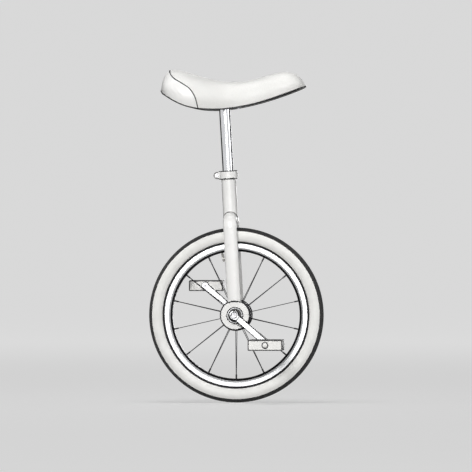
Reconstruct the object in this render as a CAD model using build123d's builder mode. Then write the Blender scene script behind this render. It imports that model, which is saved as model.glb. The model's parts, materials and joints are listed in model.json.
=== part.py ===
from build123d import *

import os
from math import cos, radians, sin

# A unicycle with a 20-inch (ISO 406) wheel, in millimetres. +X is forward, +Y is the rider's left
# and +Z is up. The origin is on the ground under the axle. The frame leans back a little and the
# right crank points forward and down, as when the rider has just mounted.

os.makedirs("parts", exist_ok=True)

# ---------------------------------------------------------------- driving dimensions

LEAN = 3.3  # the frame's backward lean, degrees
CRANK_DROP = 41.0  # the right crank's angle below the horizontal, degrees
FIT = 0.05  # radial clearance of running and sliding fits
SIDES = {"left": 1, "right": -1}

# Wheel
TYRE_R = 253.0
TYRE_HALF_WIDTH = 25.0
GROOVE_Y = 7.0  # two water grooves run round the tread
GROOVE_WIDTH = 2.2
GROOVE_DEPTH = 2.2
BEAD_R = 203.0  # the rim's bead seat, half of 406
FLANGE_R = 208.8  # the rim's outer edge
RIM_INNER_R = 184.0
RIM_HALF_WIDTH = 14.5
BRIDGE_R = 200.6  # floor of the rim's well
CHAMBER_LOW_R = 187.2
CHAMBER_HIGH_R = 198.6
TUBE_PATH_R = 228.6  # centre of the inner tube's section
TUBE_WALL = 1.0
TUBE_SECTION_R = 18.8
SPOKE_PAIRS = 14
SPOKE_R = 1.0
SPOKE_CIRCLE_R = 40.0  # holes in the hub flanges
NIPPLE_OFFSET = 5.0  # nipple's distance from the rim's middle
VALVE_R = 3.6
VALVE_THREAD_R = 3.87  # the thread that takes a pump's head
VALVE_THREAD_LENGTH = 16.0
VALVE_TIP_R = 158.0  # the valve's inner end, measured from the axle

# The tyre's right half-section, as (along the axle, radius) points
SHOULDER = (17.5, 247.3)
FLANK = (TYRE_HALF_WIDTH, 229)
HOOK = (15, 210.8)
BEAD_TOP = (12.4, 209.4)
BEAD_HEEL = (12.4, BEAD_R + 0.1)
BEAD_TOE = (8.6, BEAD_R + 0.1)
BEAD_EDGE = (8.4, 206)
INNER_HOOK = (12.2, 212.6)
INNER_FLANK = (22.6, 229)
INNER_SHOULDER = (15, 243.6)
INNER_CROWN_R = 248.4

# Hub and axle
HUB_FLANGE = 30.0  # middle of each flange, from the wheel's middle
HUB_FLANGE_R = 45.5
HUB_FLANGE_HALF = 1.5
HUB_END = 36.0
AXLE_CORE_R = 11.0
JOURNAL_R = 10.0
NECK_R = 9.0
BOLT_M8_R = 4.0

# Bearings
BEARING_Y = 50.0
BEARING_HALF = 7.0
BEARING_OUTER_R = 23.5
BALL_R = 3.97
BALL_PATH_R = 16.75
BALLS = 8
RACE_GROOVE_R = BALL_R + FIT
OUTER_RING_R = 19.6  # outer ring's inside
INNER_RING_R = 13.9  # inner ring's outside

# Cranks, measured outward from the wheel's middle
CRANK_LENGTH = 127.0
BOSS_R = 14.5
BOSS_START = 60.0
BOSS_END = 90.0
BOLT_SEAT = 76.0
RELIEF_R = 10.6
PULLER_R = 11.0  # M22 thread for the crank puller
PULLER_LENGTH = 7.0
TAPER_START = 58.5
TAPER_WIDTH = 14.6
TAPER_SLOPE = 0.07  # loss of width per millimetre: two degrees on each side
ARM_START = 70.0
ARM_END = 84.0
ARM_WIDTH = 18.7
EYE_R = 11.5

# Pedals, measured outward from the wheel's middle
PEDAL_START = 92.0
PEDAL_END = 188.0
PEDAL_LENGTH = 99.0
PEDAL_HEIGHT = 31.0
RAIL = 10.0  # width of the pedal's front and rear rails
END_PLATE = 5.0
BARREL_HALF_WIDTH = 13.0
TEETH = 8  # grip teeth on each rail, above and below
SPINDLE_THREAD_R = 7.0
SPINDLE_R = 6.0
SPINDLE_TIP_R = 5.0
BUSH_R = 8.5
BUSH_LENGTH = 20.0
NUT_START = 174.5

# Frame, measured up the leaning seat tube from the axle
HOUSING_R = 40.5
HOUSING_HALF = 8.0
CAP_GAP = 0.15  # half of the gap between a housing and its cap
CAP_BOLT_X = 32.0
CAP_BOLT_SEAT = -14.0
BOLT_M6_R = 3.0
SCREW_HEAD_R = 5.0
SCREW_HEAD_HEIGHT = 6.0
HEX_KEY_R = 2.5
HEX_KEY_DEPTH = 3.5
NUT_M6_R = 5.0
NUT_M6_HEIGHT = 5.0
WASHER_THICKNESS = 1.2
LEG_HALF_LENGTH = 19.5
LEG_HALF_WIDTH = 11.0
LEG_WALL = 2.0
CROWN_HEIGHT = 278.5
CROWN_HALF_HEIGHT = 19.0
CROWN_BEND_R = 26.0
SEAT_TUBE_R = 21.0
SEAT_TUBE_START = 260.0
SEAT_TUBE_END = 414.0
SLOT_WIDTH = 3.0
SLOT_LENGTH = 34.0
COLLAR_R = 27.3
COLLAR_START = 393.0
COLLAR_END = 418.0
EAR_REACH = 41.8
EAR_HALF_HEIGHT = 10.3
EAR_HALF_WIDTH = 11.5

# Seatpost and saddle
POST_R = 15.8
POST_WALL = 2.8
POST_START = 340.0
POST_END = 603.0
PLATE_START = 603.3
PLATE_END = 607.3
PLATE_HALF_LENGTH = 50.0
PLATE_HALF_WIDTH = 28.0
STUD_X = 38.0
STUD_Y = 18.0
STUD_END = 611.5
SPIGOT_LENGTH = 45.0
COVER_SKIN = 2.2
BUMPER_SKIN = 2.5
BASE_WALL = 4.0
BASE_RISE = 18.0  # the base shell's top above the saddle's lower edge

# ---------------------------------------------------------------- planes and helpers

AXLE_POINT = (0, 0, TYRE_R)
AXLE = Axis(AXLE_POINT, (0, 1, 0))
# Half-section of what is turned about the axle: local x along the axle, local y the radius.
SECTION = Plane(origin=AXLE_POINT, x_dir=(0, 1, 0), z_dir=(1, 0, 0))
# Side view of the wheel: local x points straight down, local z along the axle to the left.
WHEEL = Plane(origin=AXLE_POINT, x_dir=(0, 0, -1), z_dir=(0, 1, 0))
# The leaning frame: local x forward, local y to the left, local z up the seat tube.
TUBE = Plane(
    origin=AXLE_POINT,
    x_dir=(cos(radians(LEAN)), 0, sin(radians(LEAN))),
    z_dir=(-sin(radians(LEAN)), 0, cos(radians(LEAN))),
)
# Lengthwise middle plane of the leaning frame: local x forward, local y up the seat tube.
TUBE_SIDE = Plane(origin=AXLE_POINT, x_dir=TUBE.x_dir, z_dir=(0, -1, 0))

pitch = 360 / SPOKE_PAIRS
valve_angle = radians(90 + pitch / 2)
VALVE = Plane(
    origin=AXLE_POINT,
    x_dir=(0, 1, 0),
    z_dir=(cos(valve_angle), 0, sin(valve_angle)),
)


def crank_plane(side):
    """The plane of one crank: local x along the arm, local z outward."""
    drop = radians(CRANK_DROP)
    return Plane(
        origin=AXLE_POINT, x_dir=(-side * cos(drop), 0, side * sin(drop)), z_dir=(0, side, 0)
    )


def pedal_plane(side):
    """The plane of one level pedal: local y up, local z outward."""
    centre = crank_plane(side).from_local_coords((CRANK_LENGTH, 0, 0))
    return Plane(origin=centre, x_dir=(-side, 0, 0), z_dir=(0, side, 0))


def save(piece, label):
    """Names a finished piece and writes its STEP file."""
    piece.part.label = label
    export_step(piece.part, f"parts/{label}.step")


def on_side(side, point):
    """A section point, given for the +Y side, on either side of the wheel's middle."""
    return (side * point[0], point[1])


def both_sides(points):
    """A closed outline from its right half, given as (along the axle, radius) points."""
    return [*points, *[(-y, r) for y, r in reversed(points)]]


def turned(points):
    """A ring turned about the axle from a closed outline."""
    with BuildPart() as ring:
        with BuildSketch(SECTION):
            with BuildLine():
                Polyline(*points, close=True)
            make_face()
        revolve(axis=AXLE)
    return ring


def rod(plane, start, end, radius, hole=0):
    """A round bar along a plane's normal, from start to end, with a hole along it if stated."""
    with BuildPart() as bar:
        with BuildSketch(plane.offset(start)):
            Circle(radius)
            if hole:
                Circle(hole, mode=Mode.SUBTRACT)
        extrude(amount=end - start)
    return bar


# ---------------------------------------------------------------- tyre, tube, valve and rim

with BuildPart() as tyre:
    with BuildSketch(SECTION):
        with BuildLine():
            ThreePointArc(on_side(-1, SHOULDER), (0, TYRE_R), SHOULDER)
            ThreePointArc(on_side(-1, INNER_SHOULDER), (0, INNER_CROWN_R), INNER_SHOULDER)
            for side in SIDES.values():
                ThreePointArc(*[on_side(side, point) for point in (SHOULDER, FLANK, HOOK)])
                ThreePointArc(
                    *[on_side(side, point) for point in (INNER_SHOULDER, INNER_FLANK, INNER_HOOK)]
                )
                bead = (HOOK, BEAD_TOP, BEAD_HEEL, BEAD_TOE, BEAD_EDGE, INNER_HOOK)
                Polyline(*[on_side(side, point) for point in bead])
        make_face()
    revolve(axis=AXLE)
    with BuildSketch(SECTION):
        with Locations((-GROOVE_Y, TYRE_R), (GROOVE_Y, TYRE_R)):
            Rectangle(GROOVE_WIDTH, 2 * GROOVE_DEPTH)
    revolve(axis=AXLE, mode=Mode.SUBTRACT)
save(tyre, "tyre")

with BuildPart() as inner_tube:
    with BuildSketch(SECTION):
        with Locations((0, TUBE_PATH_R)):
            Circle(TUBE_SECTION_R)
            Circle(TUBE_SECTION_R - TUBE_WALL, mode=Mode.SUBTRACT)
    revolve(axis=AXLE)
    add(rod(VALVE, 200, 215, VALVE_R), mode=Mode.SUBTRACT)
save(inner_tube, "inner_tube")

with BuildPart() as valve_stem:
    add(rod(VALVE, VALVE_TIP_R, VALVE_TIP_R + VALVE_THREAD_LENGTH, VALVE_THREAD_R, hole=2.4))
    add(rod(VALVE, VALVE_TIP_R + VALVE_THREAD_LENGTH, 211, VALVE_R, hole=2.4))
save(valve_stem, "valve_stem")

with BuildPart() as valve_core:
    add(rod(VALVE, VALVE_TIP_R + 1, VALVE_TIP_R + 20, 1.0))
    add(rod(VALVE, VALVE_TIP_R + 3, VALVE_TIP_R + 9, 2.35))
save(valve_core, "valve_core")

# A spoke lies in a plane through the axle. These are (radius, along the axle) in the wheel plane.
elbow = Vector(SPOKE_CIRCLE_R, 0, HUB_FLANGE - 3.5)
nipple_seat = Vector(RIM_INNER_R, 0, NIPPLE_OFFSET)
spoke_direction = (nipple_seat - elbow).normalized()
NIPPLE = Plane(origin=nipple_seat, x_dir=(0, 1, 0), z_dir=spoke_direction)
HEAD_START = HUB_FLANGE + HUB_FLANGE_HALF + 0.1

with BuildPart() as nipple_hole:
    add(rod(NIPPLE, -4, 5.5, 2.15))
    with BuildSketch(Plane(origin=(CHAMBER_HIGH_R - 1, 0, 4.4), x_dir=(0, 1, 0), z_dir=(1, 0, 0))):
        Circle(3.6)
    extrude(amount=BRIDGE_R - CHAMBER_HIGH_R + 2)
    mirror(about=Plane.XY)

rim_outline = both_sides(
    [
        (8, RIM_INNER_R),
        (RIM_HALF_WIDTH, 195),
        (RIM_HALF_WIDTH, FLANGE_R),
        (12.5, FLANGE_R),
        (12.5, BEAD_R),
        (9, BEAD_R - 0.4),
        (8.2, BRIDGE_R),
    ]
)
chamber_outline = both_sides([(7.6, CHAMBER_LOW_R), (12.3, 195.6), (12.3, CHAMBER_HIGH_R)])
with BuildPart() as rim:
    add(turned(rim_outline))
    add(turned(chamber_outline), mode=Mode.SUBTRACT)
    add(rod(VALVE, 180, 205, VALVE_R + 0.5), mode=Mode.SUBTRACT)
    with Locations(WHEEL):
        with PolarLocations(0, SPOKE_PAIRS):
            add(nipple_hole, mode=Mode.SUBTRACT)
save(rim, "rim")

with BuildPart() as rim_tape:
    add(turned(both_sides([(8, BRIDGE_R), (8, BRIDGE_R + 0.8)])))
    add(rod(VALVE, 195, 205, VALVE_R + 0.5), mode=Mode.SUBTRACT)
save(rim_tape, "rim_tape")

# ---------------------------------------------------------------- spokes, hub and axle

with BuildPart() as spoke:
    with BuildLine():
        path = FilletPolyline(
            (SPOKE_CIRCLE_R, 0, HEAD_START),
            elbow,
            NIPPLE.from_local_coords((0, 0, 2)),
            radius=2.5,
        )
    with BuildSketch(Plane(origin=path @ 0, z_dir=path % 0)):
        Circle(SPOKE_R)
    sweep(path=path)
    with BuildSketch(Plane.XY.offset(HEAD_START)):
        with Locations((SPOKE_CIRCLE_R, 0)):
            Circle(1.9)
    extrude(amount=0.9)

with BuildPart() as nipple:
    add(rod(NIPPLE, -12, 4, 2.0, hole=SPOKE_R + FIT))
    add(rod(NIPPLE, 4, 6, 3.1, hole=SPOKE_R + FIT))

for name, side in SIDES.items():
    with BuildPart() as spokes:
        with Locations(WHEEL):
            with PolarLocations(0, SPOKE_PAIRS):
                add(spoke)
        if side < 0:
            mirror(about=Plane.XZ, mode=Mode.REPLACE)
    save(spokes, f"spokes_{name}")

with BuildPart() as spoke_nipples:
    with Locations(WHEEL):
        with PolarLocations(0, SPOKE_PAIRS):
            add(nipple)
    mirror(about=Plane.XZ)
save(spoke_nipples, "spoke_nipples")

hub_outline = both_sides(
    [
        (20, 18),
        (26, 21),
        (HUB_FLANGE - HUB_FLANGE_HALF, 22),
        (HUB_FLANGE - HUB_FLANGE_HALF, HUB_FLANGE_R),
        (HUB_FLANGE + HUB_FLANGE_HALF, HUB_FLANGE_R),
        (HUB_FLANGE + HUB_FLANGE_HALF, 16),
        (HUB_END, 15),
        (HUB_END, AXLE_CORE_R),
    ]
)
with BuildPart() as hub_shell:
    add(turned(hub_outline))
    with BuildSketch(WHEEL):
        with PolarLocations(SPOKE_CIRCLE_R, SPOKE_PAIRS):
            Circle(SPOKE_R + 0.1)
    extrude(amount=HUB_END, both=True, mode=Mode.SUBTRACT)
save(hub_shell, "hub_shell")


def square_taper(plane, end):
    """The axle's tapered square, and the cutter for the hole in the crank that sits on it."""
    with BuildPart() as taper:
        for height in (TAPER_START, BOLT_SEAT):
            width = TAPER_WIDTH - TAPER_SLOPE * (height - TAPER_START)
            with BuildSketch(plane.offset(height)):
                Rectangle(width, width)
        loft()
        add(rod(plane, TAPER_START, end, NECK_R), mode=Mode.INTERSECT)
    return taper


with BuildPart() as axle:
    add(
        turned(
            both_sides(
                [
                    (HUB_END, AXLE_CORE_R),
                    (HUB_END, JOURNAL_R),
                    (BEARING_Y + BEARING_HALF, JOURNAL_R),
                    (BEARING_Y + BEARING_HALF, NECK_R),
                    (TAPER_START, NECK_R),
                    (TAPER_START, 0),
                ]
            )
        )
    )
    for side in SIDES.values():
        plane = crank_plane(side)
        add(square_taper(plane, BOLT_SEAT - 1))
        add(rod(plane, BOLT_SEAT - 24, BOLT_SEAT, BOLT_M8_R), mode=Mode.SUBTRACT)
save(axle, "axle")

with BuildPart() as axle_spacers:
    for side in SIDES.values():
        add(rod(crank_plane(side), HUB_END, BEARING_Y - BEARING_HALF, 14, hole=JOURNAL_R))
save(axle_spacers, "axle_spacers")

# ---------------------------------------------------------------- bearings

for name, side in SIDES.items():
    plane = crank_plane(side)
    middle = plane.offset(BEARING_Y)
    start = BEARING_Y - BEARING_HALF
    end = BEARING_Y + BEARING_HALF

    with BuildPart() as ball_track:
        with BuildSketch(SECTION):
            with Locations((side * BEARING_Y, BALL_PATH_R)):
                Circle(RACE_GROOVE_R)
        revolve(axis=AXLE)

    with BuildPart() as outer_ring:
        add(rod(plane, start, end, BEARING_OUTER_R, hole=OUTER_RING_R))
        add(ball_track, mode=Mode.SUBTRACT)
    save(outer_ring, f"bearing_outer_ring_{name}")

    with BuildPart() as inner_ring:
        add(rod(plane, start, end, INNER_RING_R, hole=JOURNAL_R))
        add(ball_track, mode=Mode.SUBTRACT)
    save(inner_ring, f"bearing_inner_ring_{name}")

    with BuildPart() as balls:
        with Locations(middle):
            with PolarLocations(BALL_PATH_R, BALLS):
                Sphere(BALL_R)
    save(balls, f"bearing_balls_{name}")

    with BuildPart() as cage:
        add(rod(plane, BEARING_Y - 5.2, BEARING_Y + 5.2, 18.0, hole=15.4))
        with Locations(middle):
            with PolarLocations(BALL_PATH_R, BALLS):
                Cylinder(BALL_R + 0.1, 6, rotation=(0, 90, 0), mode=Mode.SUBTRACT)
    save(cage, f"bearing_cage_{name}")

with BuildPart() as bearing_seals:
    for side in SIDES.values():
        for offset_y in (-6.7, 5.7):
            start = BEARING_Y + offset_y
            add(rod(crank_plane(side), start, start + 1, OUTER_RING_R - FIT, hole=INNER_RING_R + 0.2))
save(bearing_seals, "bearing_seals")

# ---------------------------------------------------------------- cranks and pedals

for name, side in SIDES.items():
    plane = crank_plane(side)
    with BuildPart() as crank:
        with BuildSketch(plane.offset(ARM_START)):
            with Locations((CRANK_LENGTH / 2, 0)):
                Rectangle(CRANK_LENGTH, ARM_WIDTH)
            with Locations((CRANK_LENGTH, 0)):
                Circle(EYE_R)
        extrude(amount=ARM_END - ARM_START)
        chamfer(crank.faces().sort_by(Axis((0, 0, 0), (0, side, 0)))[-1].edges(), 2)
        chamfer(crank.faces().sort_by(Axis((0, 0, 0), (0, side, 0)))[0].edges(), 1.5)
        add(rod(plane, BOSS_START, BOSS_END, BOSS_R))
        chamfer(crank.faces().sort_by(Axis((0, 0, 0), (0, side, 0)))[-1].edges(), 1)
        add(square_taper(plane, BOLT_SEAT), mode=Mode.SUBTRACT)
        add(rod(plane, BOLT_SEAT, BOSS_END, RELIEF_R), mode=Mode.SUBTRACT)
        add(rod(plane, BOSS_END - PULLER_LENGTH, BOSS_END, PULLER_R), mode=Mode.SUBTRACT)
        add(
            rod(pedal_plane(side), ARM_START, ARM_END, SPINDLE_THREAD_R + FIT),
            mode=Mode.SUBTRACT,
        )
    save(crank, f"crank_{name}")

with BuildPart() as crank_bolts:
    for side in SIDES.values():
        plane = crank_plane(side)
        add(rod(plane, BOLT_SEAT - 21, BOLT_SEAT, BOLT_M8_R - FIT))
        add(rod(plane, BOLT_SEAT, BOLT_SEAT + 1.8, 9.8))
        with BuildSketch(plane.offset(BOLT_SEAT + 1.8)):
            RegularPolygon(radius=7, side_count=6, major_radius=False)
        extrude(amount=5)
save(crank_bolts, "crank_bolts")

pedal_middle = (PEDAL_START + PEDAL_END) / 2
bay_length = PEDAL_END - PEDAL_START - 2 * END_PLATE
bay_width = PEDAL_LENGTH / 2 - RAIL - BARREL_HALF_WIDTH

for name, side in SIDES.items():
    plane = pedal_plane(side)
    middle = plane.offset(pedal_middle)
    with BuildPart() as pedal_body:
        with BuildSketch(plane.offset(PEDAL_START)):
            RectangleRounded(PEDAL_LENGTH, PEDAL_HEIGHT, 3)
        extrude(amount=PEDAL_END - PEDAL_START)
        # The rails and the barrel between the end plates are lower than the plates.
        with Locations(middle):
            for up in (-1, 1):
                with Locations((0, up * (PEDAL_HEIGHT / 2 - 0.75), 0)):
                    Box(PEDAL_LENGTH, 1.5, bay_length, mode=Mode.SUBTRACT)
        # Two bays on each side of the barrel go right through.
        with Locations(middle):
            with Locations(
                *[
                    (x * (BARREL_HALF_WIDTH + bay_width / 2), 0, z * (bay_length + 4) / 4)
                    for x in (-1, 1)
                    for z in (-1, 1)
                ]
            ):
                Box(bay_width, PEDAL_HEIGHT, (bay_length - 4) / 2, mode=Mode.SUBTRACT)
        # Grip teeth stand on the rails.
        with Locations(middle):
            with Locations(
                *[
                    (
                        x * (PEDAL_LENGTH - RAIL) / 2,
                        up * (PEDAL_HEIGHT / 2 - 0.9),
                        (tooth + 0.5 - TEETH / 2) * bay_length / TEETH,
                    )
                    for x in (-1, 1)
                    for up in (-1, 1)
                    for tooth in range(TEETH)
                ]
            ):
                Box(RAIL - 3, 1.8, 4)
        add(rod(plane, PEDAL_START, PEDAL_END, BUSH_R), mode=Mode.SUBTRACT)
        add(rod(plane, NUT_START - 0.5, PEDAL_END, 9.0), mode=Mode.SUBTRACT)
        add(rod(plane, PEDAL_END - 1.5, PEDAL_END, 10.0), mode=Mode.SUBTRACT)
    save(pedal_body, f"pedal_body_{name}")

    with BuildPart() as spindle:
        add(rod(plane, ARM_START, ARM_END, SPINDLE_THREAD_R))
        add(rod(plane, ARM_END, ARM_END + 2, 10.0))
        with BuildSketch(plane.offset(ARM_END + 2)):
            RegularPolygon(radius=7.5, side_count=6, major_radius=False)
        extrude(amount=5.5)
        add(rod(plane, ARM_END + 7.5, 120, SPINDLE_R))
        add(rod(plane, 120, NUT_START, SPINDLE_TIP_R))
        add(rod(plane, NUT_START, 182, 3.5))
        # A hexagon socket in the inner end takes the key that screws the pedal in.
        with BuildSketch(plane.offset(ARM_START)):
            RegularPolygon(radius=3, side_count=6, major_radius=False)
        extrude(amount=7, mode=Mode.SUBTRACT)
    save(spindle, f"pedal_spindle_{name}")

    with BuildPart() as inner_bush:
        add(rod(plane, PEDAL_START + 1, PEDAL_START + 1 + BUSH_LENGTH, BUSH_R, hole=SPINDLE_R + FIT))
    save(inner_bush, f"pedal_inner_bush_{name}")

    with BuildPart() as outer_bush:
        add(rod(plane, NUT_START - BUSH_LENGTH, NUT_START - 0.2, BUSH_R, hole=SPINDLE_TIP_R + FIT))
    save(outer_bush, f"pedal_outer_bush_{name}")

    with BuildPart() as locknut:
        add(rod(plane, NUT_START, NUT_START + 1.2, 7.8, hole=3.5 + FIT))
        with BuildSketch(plane.offset(NUT_START + 1.2)):
            RegularPolygon(radius=6.5, side_count=6, major_radius=False)
            Circle(3.5 + FIT, mode=Mode.SUBTRACT)
        extrude(amount=5)
    save(locknut, f"pedal_locknut_{name}")

    with BuildPart() as dust_cap:
        add(rod(plane, PEDAL_END - 1.5, PEDAL_END + 0.5, 9.8))
        add(rod(plane, PEDAL_END - 4, PEDAL_END - 1.5, 8.9, hole=7.4))
        chamfer(dust_cap.faces().sort_by(Axis((0, 0, 0), (0, side, 0)))[-1].edges(), 0.6)
    save(dust_cap, f"pedal_dust_cap_{name}")

# ---------------------------------------------------------------- bearing housings and fork legs


def leg_solid(side, wall):
    """One leg's outside, or its inside when a wall is stated: an oval that turns into the crown."""
    half_length = LEG_HALF_LENGTH - wall
    with BuildPart() as solid:
        bend_start = CROWN_HEIGHT - CROWN_BEND_R
        with BuildSketch(TUBE.offset(HOUSING_R / 2)):
            with Locations((0, side * BEARING_Y)):
                Ellipse(half_length, LEG_HALF_WIDTH - wall)
        extrude(amount=bend_start - HOUSING_R / 2)
        for step in range(5):
            turn = radians(90 * step / 4)
            grow = LEG_HALF_WIDTH + (CROWN_HALF_HEIGHT - LEG_HALF_WIDTH) * sin(turn) ** 2
            centre = TUBE.from_local_coords(
                (
                    0,
                    side * (BEARING_Y - CROWN_BEND_R + CROWN_BEND_R * cos(turn)),
                    bend_start + CROWN_BEND_R * sin(turn),
                )
            )
            tangent = Vector(0, -side * sin(turn), 0) + TUBE.z_dir * cos(turn)
            with BuildSketch(Plane(origin=centre, x_dir=TUBE.x_dir, z_dir=tangent)):
                Ellipse(half_length, grow - wall)
        loft()
        inward = Plane(
            origin=TUBE.from_local_coords((0, side * (BEARING_Y - CROWN_BEND_R), CROWN_HEIGHT)),
            x_dir=TUBE.x_dir,
            z_dir=(0, -side, 0),
        )
        with BuildSketch(inward):
            Ellipse(half_length, CROWN_HALF_HEIGHT - wall)
        extrude(amount=BEARING_Y - CROWN_BEND_R - 4)
    return solid


for name, side in SIDES.items():
    plane = crank_plane(side)
    with BuildPart() as fork_leg:
        add(leg_solid(side, 0))
        add(leg_solid(side, LEG_WALL), mode=Mode.SUBTRACT)
        add(rod(plane, 0, 2 * BEARING_Y, HOUSING_R), mode=Mode.SUBTRACT)
        add(rod(TUBE, SEAT_TUBE_START - 20, SEAT_TUBE_END, SEAT_TUBE_R), mode=Mode.SUBTRACT)
    save(fork_leg, f"fork_leg_{name}")

    inner_face = side * (BEARING_Y - HOUSING_HALF)
    outer_face = side * (BEARING_Y + HOUSING_HALF)
    with BuildPart() as whole_housing:
        add(
            turned(
                [
                    (inner_face, 21.5),
                    (inner_face, HOUSING_R - 1.5),
                    (inner_face + side * 1.5, HOUSING_R),
                    (outer_face - side * 1.5, HOUSING_R),
                    (outer_face, HOUSING_R - 1.5),
                    (outer_face, 21.5),
                    (outer_face - side, 21.5),
                    (outer_face - side, BEARING_OUTER_R),
                    (inner_face + side, BEARING_OUTER_R),
                    (inner_face + side, 21.5),
                ]
            )
        )
        with BuildSketch(TUBE.offset(-HOUSING_R)):
            with Locations((-CAP_BOLT_X, side * BEARING_Y), (CAP_BOLT_X, side * BEARING_Y)):
                Circle(5.8)
        extrude(amount=HOUSING_R + CAP_BOLT_SEAT, mode=Mode.SUBTRACT)
        with BuildSketch(TUBE.offset(CAP_BOLT_SEAT)):
            with Locations((-CAP_BOLT_X, side * BEARING_Y), (CAP_BOLT_X, side * BEARING_Y)):
                Circle(BOLT_M6_R + FIT)
        extrude(amount=-CAP_BOLT_SEAT + 16, mode=Mode.SUBTRACT)

    with BuildPart() as housing:
        add(whole_housing)
        split(bisect_by=TUBE.offset(CAP_GAP), keep=Keep.TOP)
    save(housing, f"bearing_housing_{name}")

    with BuildPart() as cap:
        add(whole_housing)
        split(bisect_by=TUBE.offset(-CAP_GAP), keep=Keep.BOTTOM)
    save(cap, f"bearing_cap_{name}")

cap_bolt_spots = [(x, side * BEARING_Y) for x in (-CAP_BOLT_X, CAP_BOLT_X) for side in (1, -1)]
with BuildPart() as bearing_cap_washers:
    with BuildSketch(TUBE.offset(CAP_BOLT_SEAT - WASHER_THICKNESS)):
        with Locations(*cap_bolt_spots):
            Circle(5.7)
            Circle(BOLT_M6_R + FIT, mode=Mode.SUBTRACT)
    extrude(amount=WASHER_THICKNESS)
save(bearing_cap_washers, "bearing_cap_washers")

cap_bolt_head = TUBE.offset(CAP_BOLT_SEAT - WASHER_THICKNESS)
with BuildPart() as bearing_cap_bolts:
    with BuildSketch(cap_bolt_head):
        with Locations(*cap_bolt_spots):
            Circle(BOLT_M6_R)
    extrude(amount=28)
    with BuildSketch(cap_bolt_head):
        with Locations(*cap_bolt_spots):
            Circle(SCREW_HEAD_R)
    extrude(amount=-SCREW_HEAD_HEIGHT)
    with BuildSketch(cap_bolt_head.offset(-SCREW_HEAD_HEIGHT)):
        with Locations(*cap_bolt_spots):
            RegularPolygon(radius=HEX_KEY_R, side_count=6, major_radius=False)
    extrude(amount=HEX_KEY_DEPTH, mode=Mode.SUBTRACT)
save(bearing_cap_bolts, "bearing_cap_bolts")

# ---------------------------------------------------------------- seat tube and clamp

with BuildPart() as seat_tube:
    add(rod(TUBE, SEAT_TUBE_START, SEAT_TUBE_END, SEAT_TUBE_R, hole=POST_R + FIT))
    # The slot at the back lets the tube close on the post. A round hole ends it.
    with Locations(TUBE):
        with Locations((-SEAT_TUBE_R, 0, SEAT_TUBE_END - SLOT_LENGTH / 2)):
            Box(2 * SEAT_TUBE_R - POST_R, SLOT_WIDTH, SLOT_LENGTH, mode=Mode.SUBTRACT)
        with Locations((-SEAT_TUBE_R, 0, SEAT_TUBE_END - SLOT_LENGTH)):
            Cylinder(3, 2 * SEAT_TUBE_R - POST_R, rotation=(0, 90, 0), mode=Mode.SUBTRACT)
save(seat_tube, "seat_tube")

EAR_CENTRE = EAR_HALF_HEIGHT - EAR_REACH
clamp_height = (COLLAR_START + COLLAR_END) / 2
with BuildPart() as seat_clamp_collar:
    add(rod(TUBE, COLLAR_START, COLLAR_END, COLLAR_R))
    chamfer(seat_clamp_collar.edges(), 1.2)
    with BuildSketch(TUBE_SIDE):
        with Locations((EAR_CENTRE, clamp_height)):
            Circle(EAR_HALF_HEIGHT)
        with Locations((EAR_CENTRE / 2 - 8, clamp_height)):
            Rectangle(-EAR_CENTRE - 16, 2 * EAR_HALF_HEIGHT)
    extrude(amount=EAR_HALF_WIDTH, both=True)
    add(rod(TUBE, COLLAR_START, SEAT_TUBE_END + 0.1, SEAT_TUBE_R + FIT), mode=Mode.SUBTRACT)
    add(rod(TUBE, COLLAR_START, COLLAR_END, POST_R + 0.3), mode=Mode.SUBTRACT)
    with Locations(TUBE):
        with Locations((-EAR_REACH, 0, clamp_height)):
            Box(EAR_REACH, SLOT_WIDTH, 2 * COLLAR_R, mode=Mode.SUBTRACT)
    with BuildSketch(TUBE_SIDE):
        with Locations((EAR_CENTRE, clamp_height)):
            Circle(BOLT_M6_R + 0.2)
    extrude(amount=EAR_HALF_WIDTH, both=True, mode=Mode.SUBTRACT)
save(seat_clamp_collar, "seat_clamp_collar")

# The clamp bolt goes in from the right, through both ears.
CLAMP_BOLT = Plane(
    origin=TUBE.from_local_coords((EAR_CENTRE, 0, clamp_height)),
    x_dir=TUBE.x_dir,
    z_dir=(0, 1, 0),
)
with BuildPart() as seat_clamp_bolt:
    add(rod(CLAMP_BOLT, -EAR_HALF_WIDTH - SCREW_HEAD_HEIGHT, -EAR_HALF_WIDTH, SCREW_HEAD_R))
    add(rod(CLAMP_BOLT, -EAR_HALF_WIDTH, EAR_HALF_WIDTH + NUT_M6_HEIGHT + 1.5, BOLT_M6_R))
    with BuildSketch(CLAMP_BOLT.offset(-EAR_HALF_WIDTH - SCREW_HEAD_HEIGHT)):
        RegularPolygon(radius=HEX_KEY_R, side_count=6, major_radius=False)
    extrude(amount=HEX_KEY_DEPTH, mode=Mode.SUBTRACT)
save(seat_clamp_bolt, "seat_clamp_bolt")

with BuildPart() as seat_clamp_nut:
    with BuildSketch(CLAMP_BOLT.offset(EAR_HALF_WIDTH)):
        RegularPolygon(radius=NUT_M6_R, side_count=6, major_radius=False)
        Circle(BOLT_M6_R + FIT, mode=Mode.SUBTRACT)
    extrude(amount=NUT_M6_HEIGHT)
save(seat_clamp_nut, "seat_clamp_nut")

# ---------------------------------------------------------------- seatpost and bracket

with BuildPart() as seatpost:
    add(rod(TUBE, POST_START, POST_END, POST_R, hole=POST_R - POST_WALL))
    chamfer(seatpost.edges().sort_by(Axis.Z)[:2], 0.8)
save(seatpost, "seatpost")

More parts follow.
